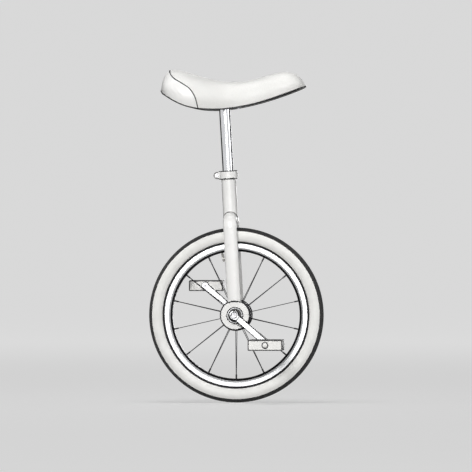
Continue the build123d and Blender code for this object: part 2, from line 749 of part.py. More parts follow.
stud_spots = [(x, y) for x in (-STUD_X, STUD_X) for y in (-STUD_Y, STUD_Y)]
with BuildPart() as saddle_bracket:
    with BuildSketch(TUBE.offset(PLATE_START)):
        RectangleRounded(2 * PLATE_HALF_LENGTH, 2 * PLATE_HALF_WIDTH, 12)
        with Locations(*stud_spots):
            Circle(BOLT_M6_R + 0.4, mode=Mode.SUBTRACT)
    extrude(amount=PLATE_END - PLATE_START)
    add(rod(TUBE, PLATE_START - SPIGOT_LENGTH, PLATE_START, POST_R - POST_WALL - FIT, hole=9))
save(saddle_bracket, "saddle_bracket")

# ---------------------------------------------------------------- saddle

# Stations along the saddle: (forward, lower edge, top, half width).
STATIONS = [
    (-213.0, 900, 914, 46),
    (-207.0, 893, 938, 78),
    (-190.0, 881.5, 959, 100),
    (-170.0, 870, 962.8, 108),
    (-135.0, 855.5, 953, 112),
    (-85.0, 847.5, 937.5, 98),
    (-30.0, 848.5, 928.3, 71),
    (25.0, 857, 929.3, 57),
    (80.0, 870.5, 942, 56),
    (125.0, 885, 955.5, 62),
    (158.0, 897, 956, 60),
    (183.0, 906.5, 943, 48),
    (198.0, 912.5, 920, 24),
]
LOWER_EDGE = [(x, low) for x, low, top, half in STATIONS[1:-1:2]]


def saddle_form(inset, drop=0):
    """The saddle's rounded form, drawn in by an inset; drop lengthens it downward to cut with."""
    shrink = 1 - inset / 205
    with BuildPart() as form:
        for x, low, top, half in STATIONS:
            floor = low - drop
            side_y = half - inset
            crown = max(top - inset, low + 2)
            rise = crown - low
            with BuildSketch(Plane(origin=(x * shrink, 0, 0), x_dir=(0, 1, 0), z_dir=(1, 0, 0))):
                with BuildLine():
                    Polyline(
                        (-0.95 * side_y, low),
                        (-0.95 * side_y, floor - 1),
                        (0.95 * side_y, floor - 1),
                        (0.95 * side_y, low),
                    )
                    Spline(
                        (0.95 * side_y, low),
                        (side_y, low + 0.35 * rise),
                        (0.66 * side_y, low + 0.88 * rise),
                        (0, crown),
                        (-0.66 * side_y, low + 0.88 * rise),
                        (-side_y, low + 0.35 * rise),
                        (-0.95 * side_y, low),
                    )
                make_face()
        loft()
    return form


def below(lift):
    """Everything under the saddle's lower edge raised by a lift."""
    with BuildPart() as block:
        with BuildSketch(Plane.XZ):
            with BuildLine():
                edge = Spline(
                    (-230, 915 + lift), *[(x, low + lift) for x, low in LOWER_EDGE], (215, 918 + lift)
                )
                Polyline(edge @ 0, (-230, 760), (215, 760), edge @ 1)
            make_face()
        extrude(amount=150, both=True)
    return block


def rear_end(shift):
    """The region behind the rear bumper's front edge, moved forward by a shift."""
    with BuildPart() as block:
        with BuildSketch(Plane.XZ):
            with BuildLine():
                edge = Spline(
                    (-196 + shift, 975),
                    (-181 + shift, 941.7),
                    (-134 + shift, 910.4),
                    (-112 + shift, 881),
                    (-103 + shift, 830),
                )
                Polyline(edge @ 0, (-240, 975), (-240, 830), edge @ 1)
            make_face()
        extrude(amount=150, both=True)
    return block


with BuildPart() as saddle_cover:
    add(saddle_form(0))
    add(saddle_form(COVER_SKIN, drop=40), mode=Mode.SUBTRACT)
    add(rear_end(0.3), mode=Mode.SUBTRACT)
save(saddle_cover, "saddle_cover")

with BuildPart() as rear_bumper:
    add(saddle_form(0))
    add(saddle_form(BUMPER_SKIN, drop=40), mode=Mode.SUBTRACT)
    add(rear_end(0), mode=Mode.INTERSECT)
save(rear_bumper, "rear_bumper")

with BuildPart() as saddle_cushion:
    add(saddle_form(BUMPER_SKIN + 0.3))
    add(below(BASE_RISE + 0.3), mode=Mode.SUBTRACT)
save(saddle_cushion, "saddle_cushion")

with BuildPart() as base_recess:
    add(saddle_form(BUMPER_SKIN + BASE_WALL, drop=40))
    add(below(BASE_RISE - BASE_WALL), mode=Mode.INTERSECT)

# A pad under the base carries the studs and lies on the bracket's plate.
with BuildPart() as base_pad:
    with BuildSketch(TUBE.offset(PLATE_END)):
        RectangleRounded(2 * PLATE_HALF_LENGTH - 4, 2 * PLATE_HALF_WIDTH - 4, 10)
    extrude(amount=14)
    add(below(BASE_RISE), mode=Mode.INTERSECT)

with BuildPart() as saddle_base:
    add(saddle_form(BUMPER_SKIN + 0.3))
    add(below(BASE_RISE), mode=Mode.INTERSECT)
    add(base_recess, mode=Mode.SUBTRACT)
    add(base_pad)
    with BuildSketch(TUBE.offset(PLATE_END)):
        with Locations(*stud_spots):
            Circle(BOLT_M6_R)
    extrude(amount=STUD_END - PLATE_END, mode=Mode.SUBTRACT)
save(saddle_base, "saddle_base")

with BuildPart() as saddle_studs:
    with BuildSketch(TUBE.offset(STUD_END)):
        with Locations(*stud_spots):
            Circle(BOLT_M6_R)
    extrude(amount=PLATE_START - 8 - STUD_END)
save(saddle_studs, "saddle_studs")

with BuildPart() as saddle_washers:
    with BuildSketch(TUBE.offset(PLATE_START)):
        with Locations(*stud_spots):
            Circle(6)
            Circle(BOLT_M6_R + FIT, mode=Mode.SUBTRACT)
    extrude(amount=-WASHER_THICKNESS)
save(saddle_washers, "saddle_washers")

with BuildPart() as saddle_nuts:
    with BuildSketch(TUBE.offset(PLATE_START - WASHER_THICKNESS)):
        with Locations(*stud_spots):
            RegularPolygon(radius=NUT_M6_R, side_count=6, major_radius=False)
            Circle(BOLT_M6_R + FIT, mode=Mode.SUBTRACT)
    extrude(amount=-NUT_M6_HEIGHT)
save(saddle_nuts, "saddle_nuts")
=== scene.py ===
import json
import math

import bmesh
import bpy
import numpy as np
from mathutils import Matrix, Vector


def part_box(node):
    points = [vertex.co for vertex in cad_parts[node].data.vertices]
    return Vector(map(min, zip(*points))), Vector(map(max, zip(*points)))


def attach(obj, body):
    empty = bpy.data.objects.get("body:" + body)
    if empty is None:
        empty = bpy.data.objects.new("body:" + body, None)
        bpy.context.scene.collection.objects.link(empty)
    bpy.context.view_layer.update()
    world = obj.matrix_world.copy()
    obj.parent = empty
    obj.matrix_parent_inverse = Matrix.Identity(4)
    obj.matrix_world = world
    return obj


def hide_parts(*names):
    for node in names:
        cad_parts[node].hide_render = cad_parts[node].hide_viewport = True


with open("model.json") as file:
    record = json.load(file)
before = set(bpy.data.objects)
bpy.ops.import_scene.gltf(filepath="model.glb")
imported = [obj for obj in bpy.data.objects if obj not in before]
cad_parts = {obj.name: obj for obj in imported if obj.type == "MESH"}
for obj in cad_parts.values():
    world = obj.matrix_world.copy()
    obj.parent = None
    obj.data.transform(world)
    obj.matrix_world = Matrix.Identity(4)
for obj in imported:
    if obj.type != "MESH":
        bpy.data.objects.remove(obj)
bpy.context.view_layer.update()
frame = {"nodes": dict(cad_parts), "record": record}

# A unicycle. Every length is in metres unless its name ends in _MM.
MM = 0.001
nodes = frame["nodes"]
scene = bpy.context.scene

# ---- dimensions shared with the CAD

AXLE = Vector((0, 0, 0.253))
LEAN = math.radians(3.3)
UP = Vector((-math.sin(LEAN), 0, math.cos(LEAN)))
FORWARD = Vector((math.cos(LEAN), 0, math.sin(LEAN)))
LEFT = Vector((0, 1, 0))
HOUSING_R = 0.0405
HOUSING_Y = 0.050
CROWN_HEIGHT = 0.2785
CROWN_HALF_HEIGHT = 0.019
LEG_HALF_LENGTH = 0.0195
LEG_HALF_WIDTH = 0.011
SEAT_TUBE_R = 0.021
COLLAR_MIDDLE = 0.4055
EAR_CENTRE = -0.0315
CRANK_LENGTH = 0.127
CRANK_DROP = math.radians(41.0)
PEDAL_X = CRANK_LENGTH * math.cos(CRANK_DROP)  # the pedals' middles, forward of and under the axle
PEDAL_Z = CRANK_LENGTH * math.sin(CRANK_DROP)
PEDAL_HALF_LENGTH = 0.0495
PEDAL_HALF_HEIGHT = 0.0155
SPOKE_PAIRS = 14
SIDES = (("left", 1), ("right", -1))
VALVE_ANGLE = math.radians(90 + 180 / SPOKE_PAIRS)
VALVE_AXIS = Vector((math.cos(VALVE_ANGLE), 0, math.sin(VALVE_ANGLE)))

# ---- accents

CHIPPED_EDGE = (0.25, 0.25, 0.26, 1)
PALE_DUST = (0.62, 0.61, 0.58)
BLACK_PAINT = (0.02, 0.02, 0.021, 1)
BLACK_ANODISE = (0.02, 0.02, 0.022, 1)
BLACK_RIM_COAT = (0.018, 0.018, 0.02, 1)
CRANK_BARE_HALF_WIDTH = 0.0069  # bright faces of the cranks
BOSS_BARE_R = 0.0118
EYE_BARE_R = 0.0088
COLLAR_RING_START = 0.0094  # from the seat clamp's middle
CLAMP_REACH = 0.03  # keeps the clamp's marks off other parts
EAR_BORDER_R = 0.0072
EAR_START = -0.0272
RIM_HOOP_R = 0.1905
RIM_FLANGE_R = 0.2062
PEDAL_BORDER = 0.00325
TYRE_TREAD_BLACK_MM = 241.8  # the tyre is black outside this radius, and inside the next
TYRE_BEAD_BLACK_MM = 212.4
LIP_RING_R = 0.0232  # rubber ring on each housing's outer face
LIP_RING_Y = 0.0581
LIP_RING_THICKNESS = 0.0014
HOUSING_BEAD_R = 0.0018  # sealant on the welds
CROWN_BEAD_R = 0.0023

# ---- saddle's form

# Stations along the saddle: forward, lower edge, top, half width.
STATIONS_MM = [
    (-213.0, 900, 914, 46),
    (-207.0, 893, 938, 78),
    (-190.0, 881.5, 959, 100),
    (-170.0, 870, 962.8, 108),
    (-135.0, 855.5, 953, 112),
    (-85.0, 847.5, 937.5, 98),
    (-30.0, 848.5, 928.3, 71),
    (25.0, 857, 929.3, 57),
    (80.0, 870.5, 942, 56),
    (125.0, 885, 955.5, 62),
    (158.0, 897, 956, 60),
    (183.0, 906.5, 943, 48),
    (198.0, 912.5, 920, 24),
]
# The rear bumper's front edge in side view: forward, up.
BUMPER_EDGE_MM = [(-196, 975), (-181, 941.7), (-134, 910.4), (-112, 881), (-103, 830)]


def tube_point(x, y, height):
    """A point of the leaning frame: forward, left and up the seat tube from the axle."""
    return AXLE + FORWARD * x + LEFT * y + UP * height


# ---- materials


class Look:
    """A procedural material. Its patterns are sized in millimetres on the object itself."""

    def __init__(self, name, color, roughness, metallic=0.0, **constants):
        self.material = bpy.data.materials.new(name)
        self.material.use_nodes = True
        self.nodes = self.material.node_tree.nodes
        self.links = self.material.node_tree.links
        self.shader = self.nodes["Principled BSDF"]
        self.color = (*color, 1)
        self.roughness = roughness
        self.put(self.shader, "Base Color", self.color)
        self.put(self.shader, "Roughness", roughness)
        self.put(self.shader, "Metallic", metallic)
        for socket, value in constants.items():
            self.put(self.shader, socket.replace("_", " "), value)
        self.position = self.add("ShaderNodeTexCoord").outputs["Object"]
        self.normal = None

    def put(self, node, socket, value):
        """Links or sets one input."""
        if isinstance(value, bpy.types.NodeSocket):
            self.links.new(value, node.inputs[socket])
        else:
            node.inputs[socket].default_value = value

    def add(self, kind, inputs=None, **settings):
        node = self.nodes.new(kind)
        for key, value in settings.items():
            setattr(node, key, value)
        for socket, value in (inputs or {}).items():
            self.put(node, socket, value)
        return node

    def math(self, operation, *values):
        inputs = dict(enumerate(values))
        return self.add("ShaderNodeMath", inputs, operation=operation).outputs[0]

    def plus(self, a, b):
        return self.math("ADD", a, b)

    def minus(self, a, b):
        return self.math("SUBTRACT", a, b)

    def times(self, a, b):
        return self.math("MULTIPLY", a, b)

    def vector_math(self, operation, a, b=(0, 0, 0), output="Vector"):
        return self.add("ShaderNodeVectorMath", {0: a, 1: b}, operation=operation).outputs[output]

    def split(self, vector):
        return self.add("ShaderNodeSeparateXYZ", {0: vector}).outputs

    def hypotenuse(self, a, b):
        return self.math("SQRT", self.plus(self.times(a, a), self.times(b, b)))

    def away(self, value, middle=0.0):
        """How far a value is from a middle one."""
        return self.math("ABSOLUTE", self.minus(value, middle))

    def fit(self, value, low, high, to_low=0.0, to_high=1.0):
        """A value's place between low and high, as a smooth step from to_low to to_high."""
        inputs = dict(enumerate((value, low, high, to_low, to_high)))
        return self.add("ShaderNodeMapRange", inputs, interpolation_type="SMOOTHSTEP").outputs[0]

    def past(self, value, limit, blur=0.1 * MM):
        """1 where a value is over a limit, with a narrow soft edge."""
        return self.fit(value, limit - blur, limit + blur)

    def within(self, value, limit, blur=0.1 * MM):
        """1 where a value is under a limit, with a narrow soft edge."""
        return self.fit(value, limit + blur, limit - blur)

    def uneven(self, pattern, low, high, start=0.3, end=0.7):
        """Roughness between two values, as a pattern goes from start to end."""
        return self.fit(pattern, start, end, low, high)

    def blend(self, factor, a, b):
        return self.add("ShaderNodeMix", {0: factor, 6: a, 7: b}, data_type="RGBA").outputs[2]

    def stretched(self, where, scale):
        return self.add("ShaderNodeMapping", {"Vector": where, "Scale": scale}).outputs[0]

    def noise(self, size, detail=3.0, where=None, distortion=0.0):
        inputs = {
            "Vector": where or self.position,
            "Scale": 1000 / size,
            "Detail": detail,
            "Distortion": distortion,
        }
        return self.add("ShaderNodeTexNoise", inputs).outputs[0]

    def cells(self, size, feature="F1", where=None):
        inputs = {"Vector": where or self.position, "Scale": 1000 / size}
        return self.add("ShaderNodeTexVoronoi", inputs, feature=feature).outputs["Distance"]

    def turned(self, squeeze):
        """The radius from the axle, and coordinates for a lathe's marks with a little angle."""
        x, y, z = self.split(self.vector_math("SUBTRACT", self.position, AXLE))
        radius = self.hypotenuse(x, z)
        angle = self.times(self.math("ARCTAN2", z, x), squeeze)
        joined = self.add("ShaderNodeCombineXYZ", {0: radius, 1: y, 2: angle}).outputs[0]
        return radius, joined

    def upright(self, axis):
        """Coordinates turned so that an axis is their Z."""
        turn = Vector(axis).to_track_quat("Z", "Y").inverted().to_euler()
        return self.add("ShaderNodeMapping", {"Vector": self.position, "Rotation": turn}).outputs[0]

    def along(self, axis, squeeze=0.03):
        """Coordinates squeezed along a direction, for draw marks and brushing."""
        return self.stretched(self.upright(axis), (1, 1, squeeze))

    def edges(self, radius, low=0.02, high=0.14):
        """1 on sharp edges and 0 on flats. It also rounds the edges for the light."""
        rounded = self.add("ShaderNodeBevel", {"Radius": radius}, samples=4).outputs[0]
        flat = self.add("ShaderNodeNewGeometry").outputs["Normal"]
        cosine = self.vector_math("DOT_PRODUCT", rounded, flat, "Value")
        self.normal = rounded
        return self.fit(self.minus(1.0, cosine), low, high)

    def relief(self, height, depth_mm):
        inputs = {"Height": height, "Distance": depth_mm * MM, "Strength": 1.0}
        if self.normal is not None:
            inputs["Normal"] = self.normal
        self.normal = self.add("ShaderNodeBump", inputs).outputs[0]

    def mottle(self, amount, size):
        """The base colour with soft patches, lighter and darker."""
        patches = self.noise(size, 4.0)
        pale = tuple(min(1.0, c * (1 + amount)) for c in self.color[:3]) + (1,)
        dark = tuple(c * (1 - amount) for c in self.color[:3]) + (1,)
        return self.blend(self.fit(patches, 0.32, 0.68), dark, pale)

    def finish(self, color=None, roughness=None):
        if color is not None:
            self.put(self.shader, "Base Color", color)
        if roughness is not None:
            self.put(self.shader, "Roughness", roughness)
        if self.normal is not None:
            self.put(self.shader, "Normal", self.normal)
        return self.material


def powder_coat(name, color):
    """Gloss powder coat: orange peel, slight patches, and a few chips on the sharp edges."""
    look = Look(name, color, 0.34, Coat_Weight=0.35, Coat_Roughness=0.12)
    edge = look.edges(0.7 * MM)
    spots = look.fit(look.noise(2.4, 4.0), 0.63, 0.67)
    chips = look.times(edge, spots)
    look.relief(look.noise(2.2, 2.0), 0.05)
    look.relief(look.noise(0.5, 2.0), 0.008)
    color = look.blend(chips, look.mottle(0.025, 55), CHIPPED_EDGE)
    return look.finish(color, look.uneven(look.noise(18, 5.0), 0.27, 0.42))


def moulded(name, color, roughness, texture=0.35, depth=0.02, tint=0.03):
    """Moulded plastic with a spark-eroded surface."""
    look = Look(name, color, roughness)
    look.edges(0.5 * MM)
    look.relief(look.noise(texture, 3.0), depth)
    look.relief(look.noise(9, 2.0), depth * 2)
    rough = look.uneven(look.noise(14, 5.0), roughness - 0.07, roughness + 0.09)
    return look.finish(look.mottle(tint, 24), rough)


def lathed(name, color, roughness):
    """Metal turned on a lathe, with fine rings round the axle."""
    look = Look(name, color, roughness, 1.0)
    look.edges(0.35 * MM)
    rings = look.noise(0.7, 3.0, look.turned(0.02)[1])
    look.relief(rings, 0.012)
    rough = look.uneven(rings, roughness - 0.07, roughness + 0.1, 0.25, 0.75)
    smudges = look.fit(look.noise(22, 4.0), 0.4, 0.75, 0.0, 0.08)
    return look.finish(look.mottle(0.05, 30), look.plus(rough, smudges))


def drawn(name, color, roughness):
    """Polished tube with fine marks along the frame and faint finger smudges."""
    look = Look(name, color, roughness, 1.0)
    look.edges(0.35 * MM)
    marks = look.noise(0.3, 3.0, look.along(UP))
    look.relief(marks, 0.004)
    smudges = look.fit(look.noise(26, 5.0, distortion=0.6), 0.45, 0.72, 0.0, 0.1)
    rough = look.uneven(marks, roughness - 0.02, roughness + 0.05)
    return look.finish(look.mottle(0.035, 45), look.plus(rough, smudges))


def machined_crank(name):
    """Black anodised cranks whose flat faces are machined bright inside a dark border."""
    look = Look(name, (0.64, 0.65, 0.66), 0.42, 1.0)
    facing = look.split(look.add("ShaderNodeNewGeometry").outputs["True Normal"])[1]
    face = look.fit(look.math("ABSOLUTE", facing), 0.85, 0.95)
    x, _, z = look.split(look.position)
    z = look.minus(z, AXLE.z)
    drop_cos, drop_sin = math.cos(CRANK_DROP), math.sin(CRANK_DROP)
    # Both cranks lie on one line through the axle, so distances from it serve them both.
    across = look.plus(look.times(x, drop_sin), look.times(z, drop_cos))
    along = look.away(look.times(x, drop_cos), look.times(z, drop_sin))
    arm = look.within(look.math("ABSOLUTE", across), CRANK_BARE_HALF_WIDTH)
    boss = look.within(look.hypotenuse(across, along), BOSS_BARE_R)
    to_eye = look.minus(along, CRANK_LENGTH)
    eye = look.within(look.hypotenuse(across, to_eye), EYE_BARE_R)
    bright = look.math("MAXIMUM", look.math("MAXIMUM", arm, boss), eye)
    face = look.times(face, bright)
    marks = look.noise(0.5, 3.0, look.along((drop_cos, 0, -drop_sin)))
    look.edges(0.35 * MM)
    look.relief(marks, 0.003)
    color = look.blend(face, BLACK_ANODISE, look.mottle(0.035, 45))
    return look.finish(color, look.uneven(marks, 0.38, 0.48))


def ringed_coat(name, color):
    """White powder coat, with black end rings on the seat clamp's band and a border on its ears."""
    look = Look(name, color, 0.34, Coat_Weight=0.35, Coat_Roughness=0.12)
    look.edges(0.7 * MM)
    look.relief(look.noise(2.2, 2.0), 0.05)
    lifted = look.vector_math("SUBTRACT", look.position, AXLE)
    height = look.vector_math("DOT_PRODUCT", lifted, UP, "Value")
    forward = look.vector_math("DOT_PRODUCT", lifted, FORWARD, "Value")
    height = look.minus(height, COLLAR_MIDDLE)
    away = look.math("ABSOLUTE", height)
    ring = look.times(look.past(away, COLLAR_RING_START), look.within(away, CLAMP_REACH))
    out = look.hypotenuse(look.minus(forward, EAR_CENTRE), height)
    border = look.times(look.past(out, EAR_BORDER_R), look.within(forward, EAR_START))
    border = look.times(border, look.within(out, CLAMP_REACH))
    black = look.math("MAXIMUM", ring, border)
    color = look.blend(black, look.mottle(0.025, 55), BLACK_PAINT)
    return look.finish(color, look.uneven(look.noise(18, 5.0), 0.27, 0.42))


def blackened(name, color, roughness, metallic, worn):
    """Black oxide or black coated steel that shines through a little on its edges."""
    look = Look(name, color, roughness, metallic)
    edge = look.edges(0.4 * MM, 0.03, 0.3)
    worn_edge = look.times(edge, look.fit(look.noise(1.6, 4.0), 0.5, 0.68))
    look.relief(look.noise(0.6, 3.0), 0.01)
    color = look.blend(worn_edge, look.mottle(0.25, 12), (*worn, 1))
    rough = look.uneven(look.noise(6, 4.0), roughness - 0.06, roughness + 0.1)
    return look.finish(color, rough)


def rubber(name, color, roughness, dust=PALE_DUST, dust_amount=0.12):
    """Moulded rubber with fine grain, mould flow and a trace of dust."""
    look = Look(name, color, roughness, Specular_IOR_Level=0.4)
    look.relief(look.noise(0.6, 3.0), 0.03)
    look.relief(look.noise(5, 3.0), 0.05)
    dusty = look.fit(look.noise(35, 6.0, distortion=0.4), 0.45, 0.78, 0.0, dust_amount)
    color = look.blend(dusty, look.mottle(0.03, 30), (*dust, 1))
    rough = look.uneven(look.noise(12, 4.0), roughness - 0.06, roughness + 0.1)
    return look.finish(color, rough)


def leathery(name, color, roughness):
    """Embossed vinyl: irregular pebbles about a millimetre and a half wide, with pores."""
    look = Look(name, color, roughness, Coat_Weight=0.12, Coat_Roughness=0.3, Sheen_Weight=0.04)
    # The pebbles' outlines wander by about half a millimetre.
    inputs = {"Vector": look.position, "Scale": 350.0, "Detail": 2.0}
    shifts = look.add("ShaderNodeTexNoise", inputs).outputs[1]
    shifts = look.stretched(shifts, (1.2 * MM, 1.2 * MM, 1.2 * MM))
    wander = look.vector_math("ADD", look.position, shifts)
    pebbles = look.fit(look.cells(1.7, "DISTANCE_TO_EDGE", wander), 0.0, 0.22)
    pores = look.fit(look.cells(0.55), 0.1, 0.45)
    look.relief(pebbles, 0.14)
    look.relief(pores, 0.02)
    look.relief(look.noise(28, 3.0), 0.35)
    # The valleys between the pebbles are painted darker as painted shade in the grain's recesses.
    valley_shade = tuple(c * 0.86 for c in color)
    tone = look.blend(pebbles, (*valley_shade, 1), look.mottle(0.025, 50))
    rough = look.uneven(look.noise(20, 5.0), roughness - 0.06, roughness + 0.08)
    return look.finish(tone, rough)


def rim_alloy(name):
    """Polished rim with turned rings, a black hoop along its inner edge and black flanges."""
    look = Look(name, (0.68, 0.69, 0.7), 0.36, 1.0)
    radius, where = look.turned(0.004)
    rings = look.noise(1.2, 2.0, where)
    look.relief(rings, 0.001)
    hoop = look.within(radius, RIM_HOOP_R, 0.2 * MM)
    flange = look.past(radius, RIM_FLANGE_R, 0.2 * MM)
    color = look.blend(look.math("MAXIMUM", hoop, flange), look.mottle(0.04, 60), BLACK_RIM_COAT)
    return look.finish(color, look.uneven(rings, 0.34, 0.44, 0.25, 0.75))


def framed_pedal(name):
    """White moulded end plates and barrel in a black grip frame, which is what the feet touch."""
    look = Look(name, (0.84, 0.84, 0.82), 0.42)
    look.edges(0.5 * MM)
    look.relief(look.noise(0.35, 3.0), 0.02)
    x, _, z = look.split(look.position)
    # The pedals' middles are opposite each other, so distances from the axle serve them both.
    away_x = look.away(look.math("ABSOLUTE", x), PEDAL_X)
    away_z = look.away(look.away(z, AXLE.z), PEDAL_Z)
    border_x = look.past(away_x, PEDAL_HALF_LENGTH - PEDAL_BORDER, 0.15 * MM)
    border_z = look.past(away_z, PEDAL_HALF_HEIGHT - PEDAL_BORDER, 0.15 * MM)
    border = look.math("MAXIMUM", border_x, border_z)
    color = look.blend(border, look.mottle(0.03, 24), BLACK_PAINT)
    return look.finish(color, look.uneven(look.noise(14, 5.0), 0.36, 0.52))


def foam_cells(name):
    """Open-cell foam, with painted shade in the pits of its cells."""
    look = Look(name, (0.82, 0.76, 0.5), 0.9)
    cells = look.fit(look.cells(1.1), 0.1, 0.5)
    look.relief(cells, 0.3)
    # The pits of the cells get the darker colour, as painted shade inside the pores.
    return look.finish(look.blend(cells, (0.62, 0.55, 0.32, 1), look.mottle(0.05, 30)))


def threaded(name, color, roughness, axis, pitch):
    """Plated brass with a fine thread round an axis."""
    look = Look(name, color, roughness, 1.0)
    look.edges(0.3 * MM)
    height = look.split(look.upright(axis))[2]
    wave = look.math("SINE", look.times(height, 2 * math.pi / (pitch * MM)))
    look.relief(wave, 0.12)
    look.relief(look.noise(0.5, 3.0), 0.01)
    rough = look.uneven(look.noise(3, 3.0), roughness - 0.05, roughness + 0.1)
    return look.finish(look.mottle(0.08, 4), rough)


looks = {}
for make, name, *settings in (
    (powder_coat, "frame_paint", (0.88, 0.88, 0.87)),
    (ringed_coat, "clamp_paint", (0.87, 0.87, 0.86)),
    (blackened, "fasteners", (0.5, 0.5, 0.52), 0.42, 1.0, (0.3, 0.3, 0.3)),
    (lathed, "bearing_steel", (0.72, 0.73, 0.75), 0.16),
    (moulded, "cage_plastic", (0.75, 0.72, 0.62), 0.5),
    (rubber, "seal_rubber", (0.03, 0.03, 0.03), 0.5),
    (lathed, "axle_steel", (0.5, 0.5, 0.52), 0.32),
    (rubber, "tyre_rubber", (0.86, 0.86, 0.84), 0.62, PALE_DUST, 0.05),
    (rubber, "tube_rubber", (0.05, 0.05, 0.05), 0.55),
    (threaded, "valve_brass", (0.74, 0.73, 0.7), 0.28, VALVE_AXIS, 0.8),
    (rim_alloy, "rim_alloy"),
    (blackened, "spoke_steel", (0.02, 0.02, 0.022), 0.3, 0.85, (0.12, 0.12, 0.13)),
    (blackened, "nipple_brass", (0.03, 0.03, 0.032), 0.3, 0.85, (0.5, 0.38, 0.18)),
    (lathed, "hub_alloy", (0.02, 0.02, 0.022), 0.34),
    (machined_crank, "crank_alloy"),
    (framed_pedal, "pedal_plastic"),
    (moulded, "pedal_trim", (0.03, 0.03, 0.033), 0.3, 0.5, 0.01, 0.15),
    (drawn, "post_steel", (0.86, 0.87, 0.89), 0.1),
    (leathery, "saddle_vinyl", (0.87, 0.87, 0.85), 0.46),
    (moulded, "bumper_plastic", (0.84, 0.84, 0.83), 0.4, 0.6, 0.03),
    (moulded, "base_plastic", (0.03, 0.03, 0.032), 0.45, 0.5, 0.03, 0.2),
    (foam_cells, "foam"),
):
    looks[name] = make(name, *settings)
black_rubber = rubber("tread_black_rubber", (0.022, 0.022, 0.023), 0.66, (0.3, 0.29, 0.27), 0.05)
piping_black = rubber("piping_black_vinyl", (0.02, 0.02, 0.021), 0.42, (0.3, 0.3, 0.3), 0.04)
thread_white = Look("stitching_thread", (0.78, 0.78, 0.76), 0.6, Sheen_Weight=0.3)
thread_white.relief(thread_white.noise(0.25, 2.0), 0.05)
thread_white = thread_white.finish(thread_white.mottle(0.08, 1.2))

for part in frame["record"]["subparts"]:
    mesh = nodes[part["node"]].data
    mesh.materials.clear()
    mesh.materials.append(looks[part["material_slot"]])

# ---- mesh helpers


def make_object(name, points, faces, materials, face_material=None):
    """A smooth-shaded mesh object from points and faces."""
    mesh = bpy.data.meshes.new(name)
    mesh.from_pydata([tuple(p) for p in points], [], faces)
    for material in materials:
        mesh.materials.append(material)
    if face_material is not None:
        mesh.polygons.foreach_set("material_index", face_material)
    mesh.polygons.foreach_set("use_smooth", [True] * len(mesh.polygons))
    mesh.update()
    made = bpy.data.objects.new(name, mesh)
    scene.collection.objects.link(made)
    return made


def outward(made, upward=False):
    """Turns every face of a closed mesh outward, or of an open one upward."""
    work = bmesh.new()
    work.from_mesh(made.data)
    bmesh.ops.recalc_face_normals(work, faces=work.faces[:])
    if upward and sum((face.normal for face in work.faces), Vector()).z < 0:
        bmesh.ops.reverse_faces(work, faces=work.faces[:])
    work.to_mesh(made.data)
    work.free()
    return made


def ring_faces(rows, columns, closed=False):
    """Faces between rings of points, and from the last ring to the first if closed."""
    faces = []
    for i in range(rows if closed else rows - 1):
        here, ahead = i * columns, (i + 1) % rows * columns
        for k in range(columns):
            n = (k + 1) % columns
            faces.append((here + k, here + n, ahead + n, ahead + k))
    return faces


def natural_spline(points):
    """A smooth curve through points, as a function of 0 to 1 over its chord length."""
    points = np.asarray(points, float)
    steps = np.linalg.norm(np.diff(points, axis=0), axis=1)
    knots = np.concatenate([[0], np.cumsum(steps)]) / steps.sum()
    gaps = np.diff(knots)
    count = len(points)
    system = np.eye(count)
    right = np.zeros_like(points)
    for i in range(1, count - 1):
        system[i, i - 1 : i + 2] = gaps[i - 1], 2 * (gaps[i - 1] + gaps[i]), gaps[i]
        slopes = np.diff(points[i - 1 : i + 2], axis=0) / gaps[i - 1 : i + 1, None]
        right[i] = 6 * (slopes[1] - slopes[0])
    bends = np.linalg.solve(system, right)

    def curve(t):
        i = np.clip(np.searchsorted(knots, t, side="right") - 1, 0, count - 2)
        g = gaps[i][:, None]
        a = (knots[i + 1] - t)[:, None]
        b = (t - knots[i])[:, None]
        return (
            (bends[i] * a**3 + bends[i + 1] * b**3) / (6 * g)
            + (points[i] / g - bends[i] * g / 6) * a
            + (points[i + 1] / g - bends[i + 1] * g / 6) * b
        )

    return curve


def sweep(path, radius, closed=False, sides=10):
    """Points and faces of a tube along a path. radius is a number or a function of the distance."""
    path = [Vector(p) for p in path]
    count = len(path)
    reach = [0.0]
    for a, b in zip(path, path[1:]):
        reach.append(reach[-1] + (b - a).length)
    points, faces = [], []
    across = None
    for i, here in enumerate(path):
        ahead = path[(i + 1) % count] if closed or i < count - 1 else here
        behind = path[i - 1] if closed or i > 0 else here
        direction = (ahead - behind).normalized()
        if across is None:
            across = direction.orthogonal().normalized()
        across = (across - direction * across.dot(direction)).normalized()
        other = direction.cross(across)
        size = radius(reach[i]) if callable(radius) else radius
        for k in range(sides):
            turn = 2 * math.pi * k / sides
            points.append(here + (across * math.cos(turn) + other * math.sin(turn)) * size)
    rows = count if closed else count - 1
    shift = 0
    if closed:
        # The last ring meets the first where their points are nearest.
        last, first = points[-sides:], points[:sides]

        def gap(turn):
            return sum((last[k] - first[(k + turn) % sides]).length for k in range(sides))

        shift = min(range(sides), key=gap)
    for i in range(rows):
        turn = shift if i == count - 1 else 0
        for k in range(sides):
            a, b = i * sides + k, i * sides + (k + 1) % sides
            c = ((i + 1) % count) * sides
            faces.append((a, b, c + (k + 1 + turn) % sides, c + (k + turn) % sides))
    if not closed:
        faces.append(tuple(reversed(range(sides))))
        faces.append(tuple(range((count - 1) * sides, count * sides)))
    return points, faces


def tube(name, path, radius, material, closed=False, sides=10):
    points, faces = sweep(path, radius, closed, sides)
    return outward(make_object(name, points, faces, [material]))


def distances(line):
    """How far along a line each of its points is."""
    return np.concatenate([[0], np.cumsum(np.linalg.norm(np.diff(line, axis=0), axis=1))])


def values_at(marks, reach, rows):
    """Rows of three numbers, read at marks along a line whose points are at given distances."""
    return np.stack([np.interp(marks, reach, rows[:, k]) for k in range(3)], axis=-1)


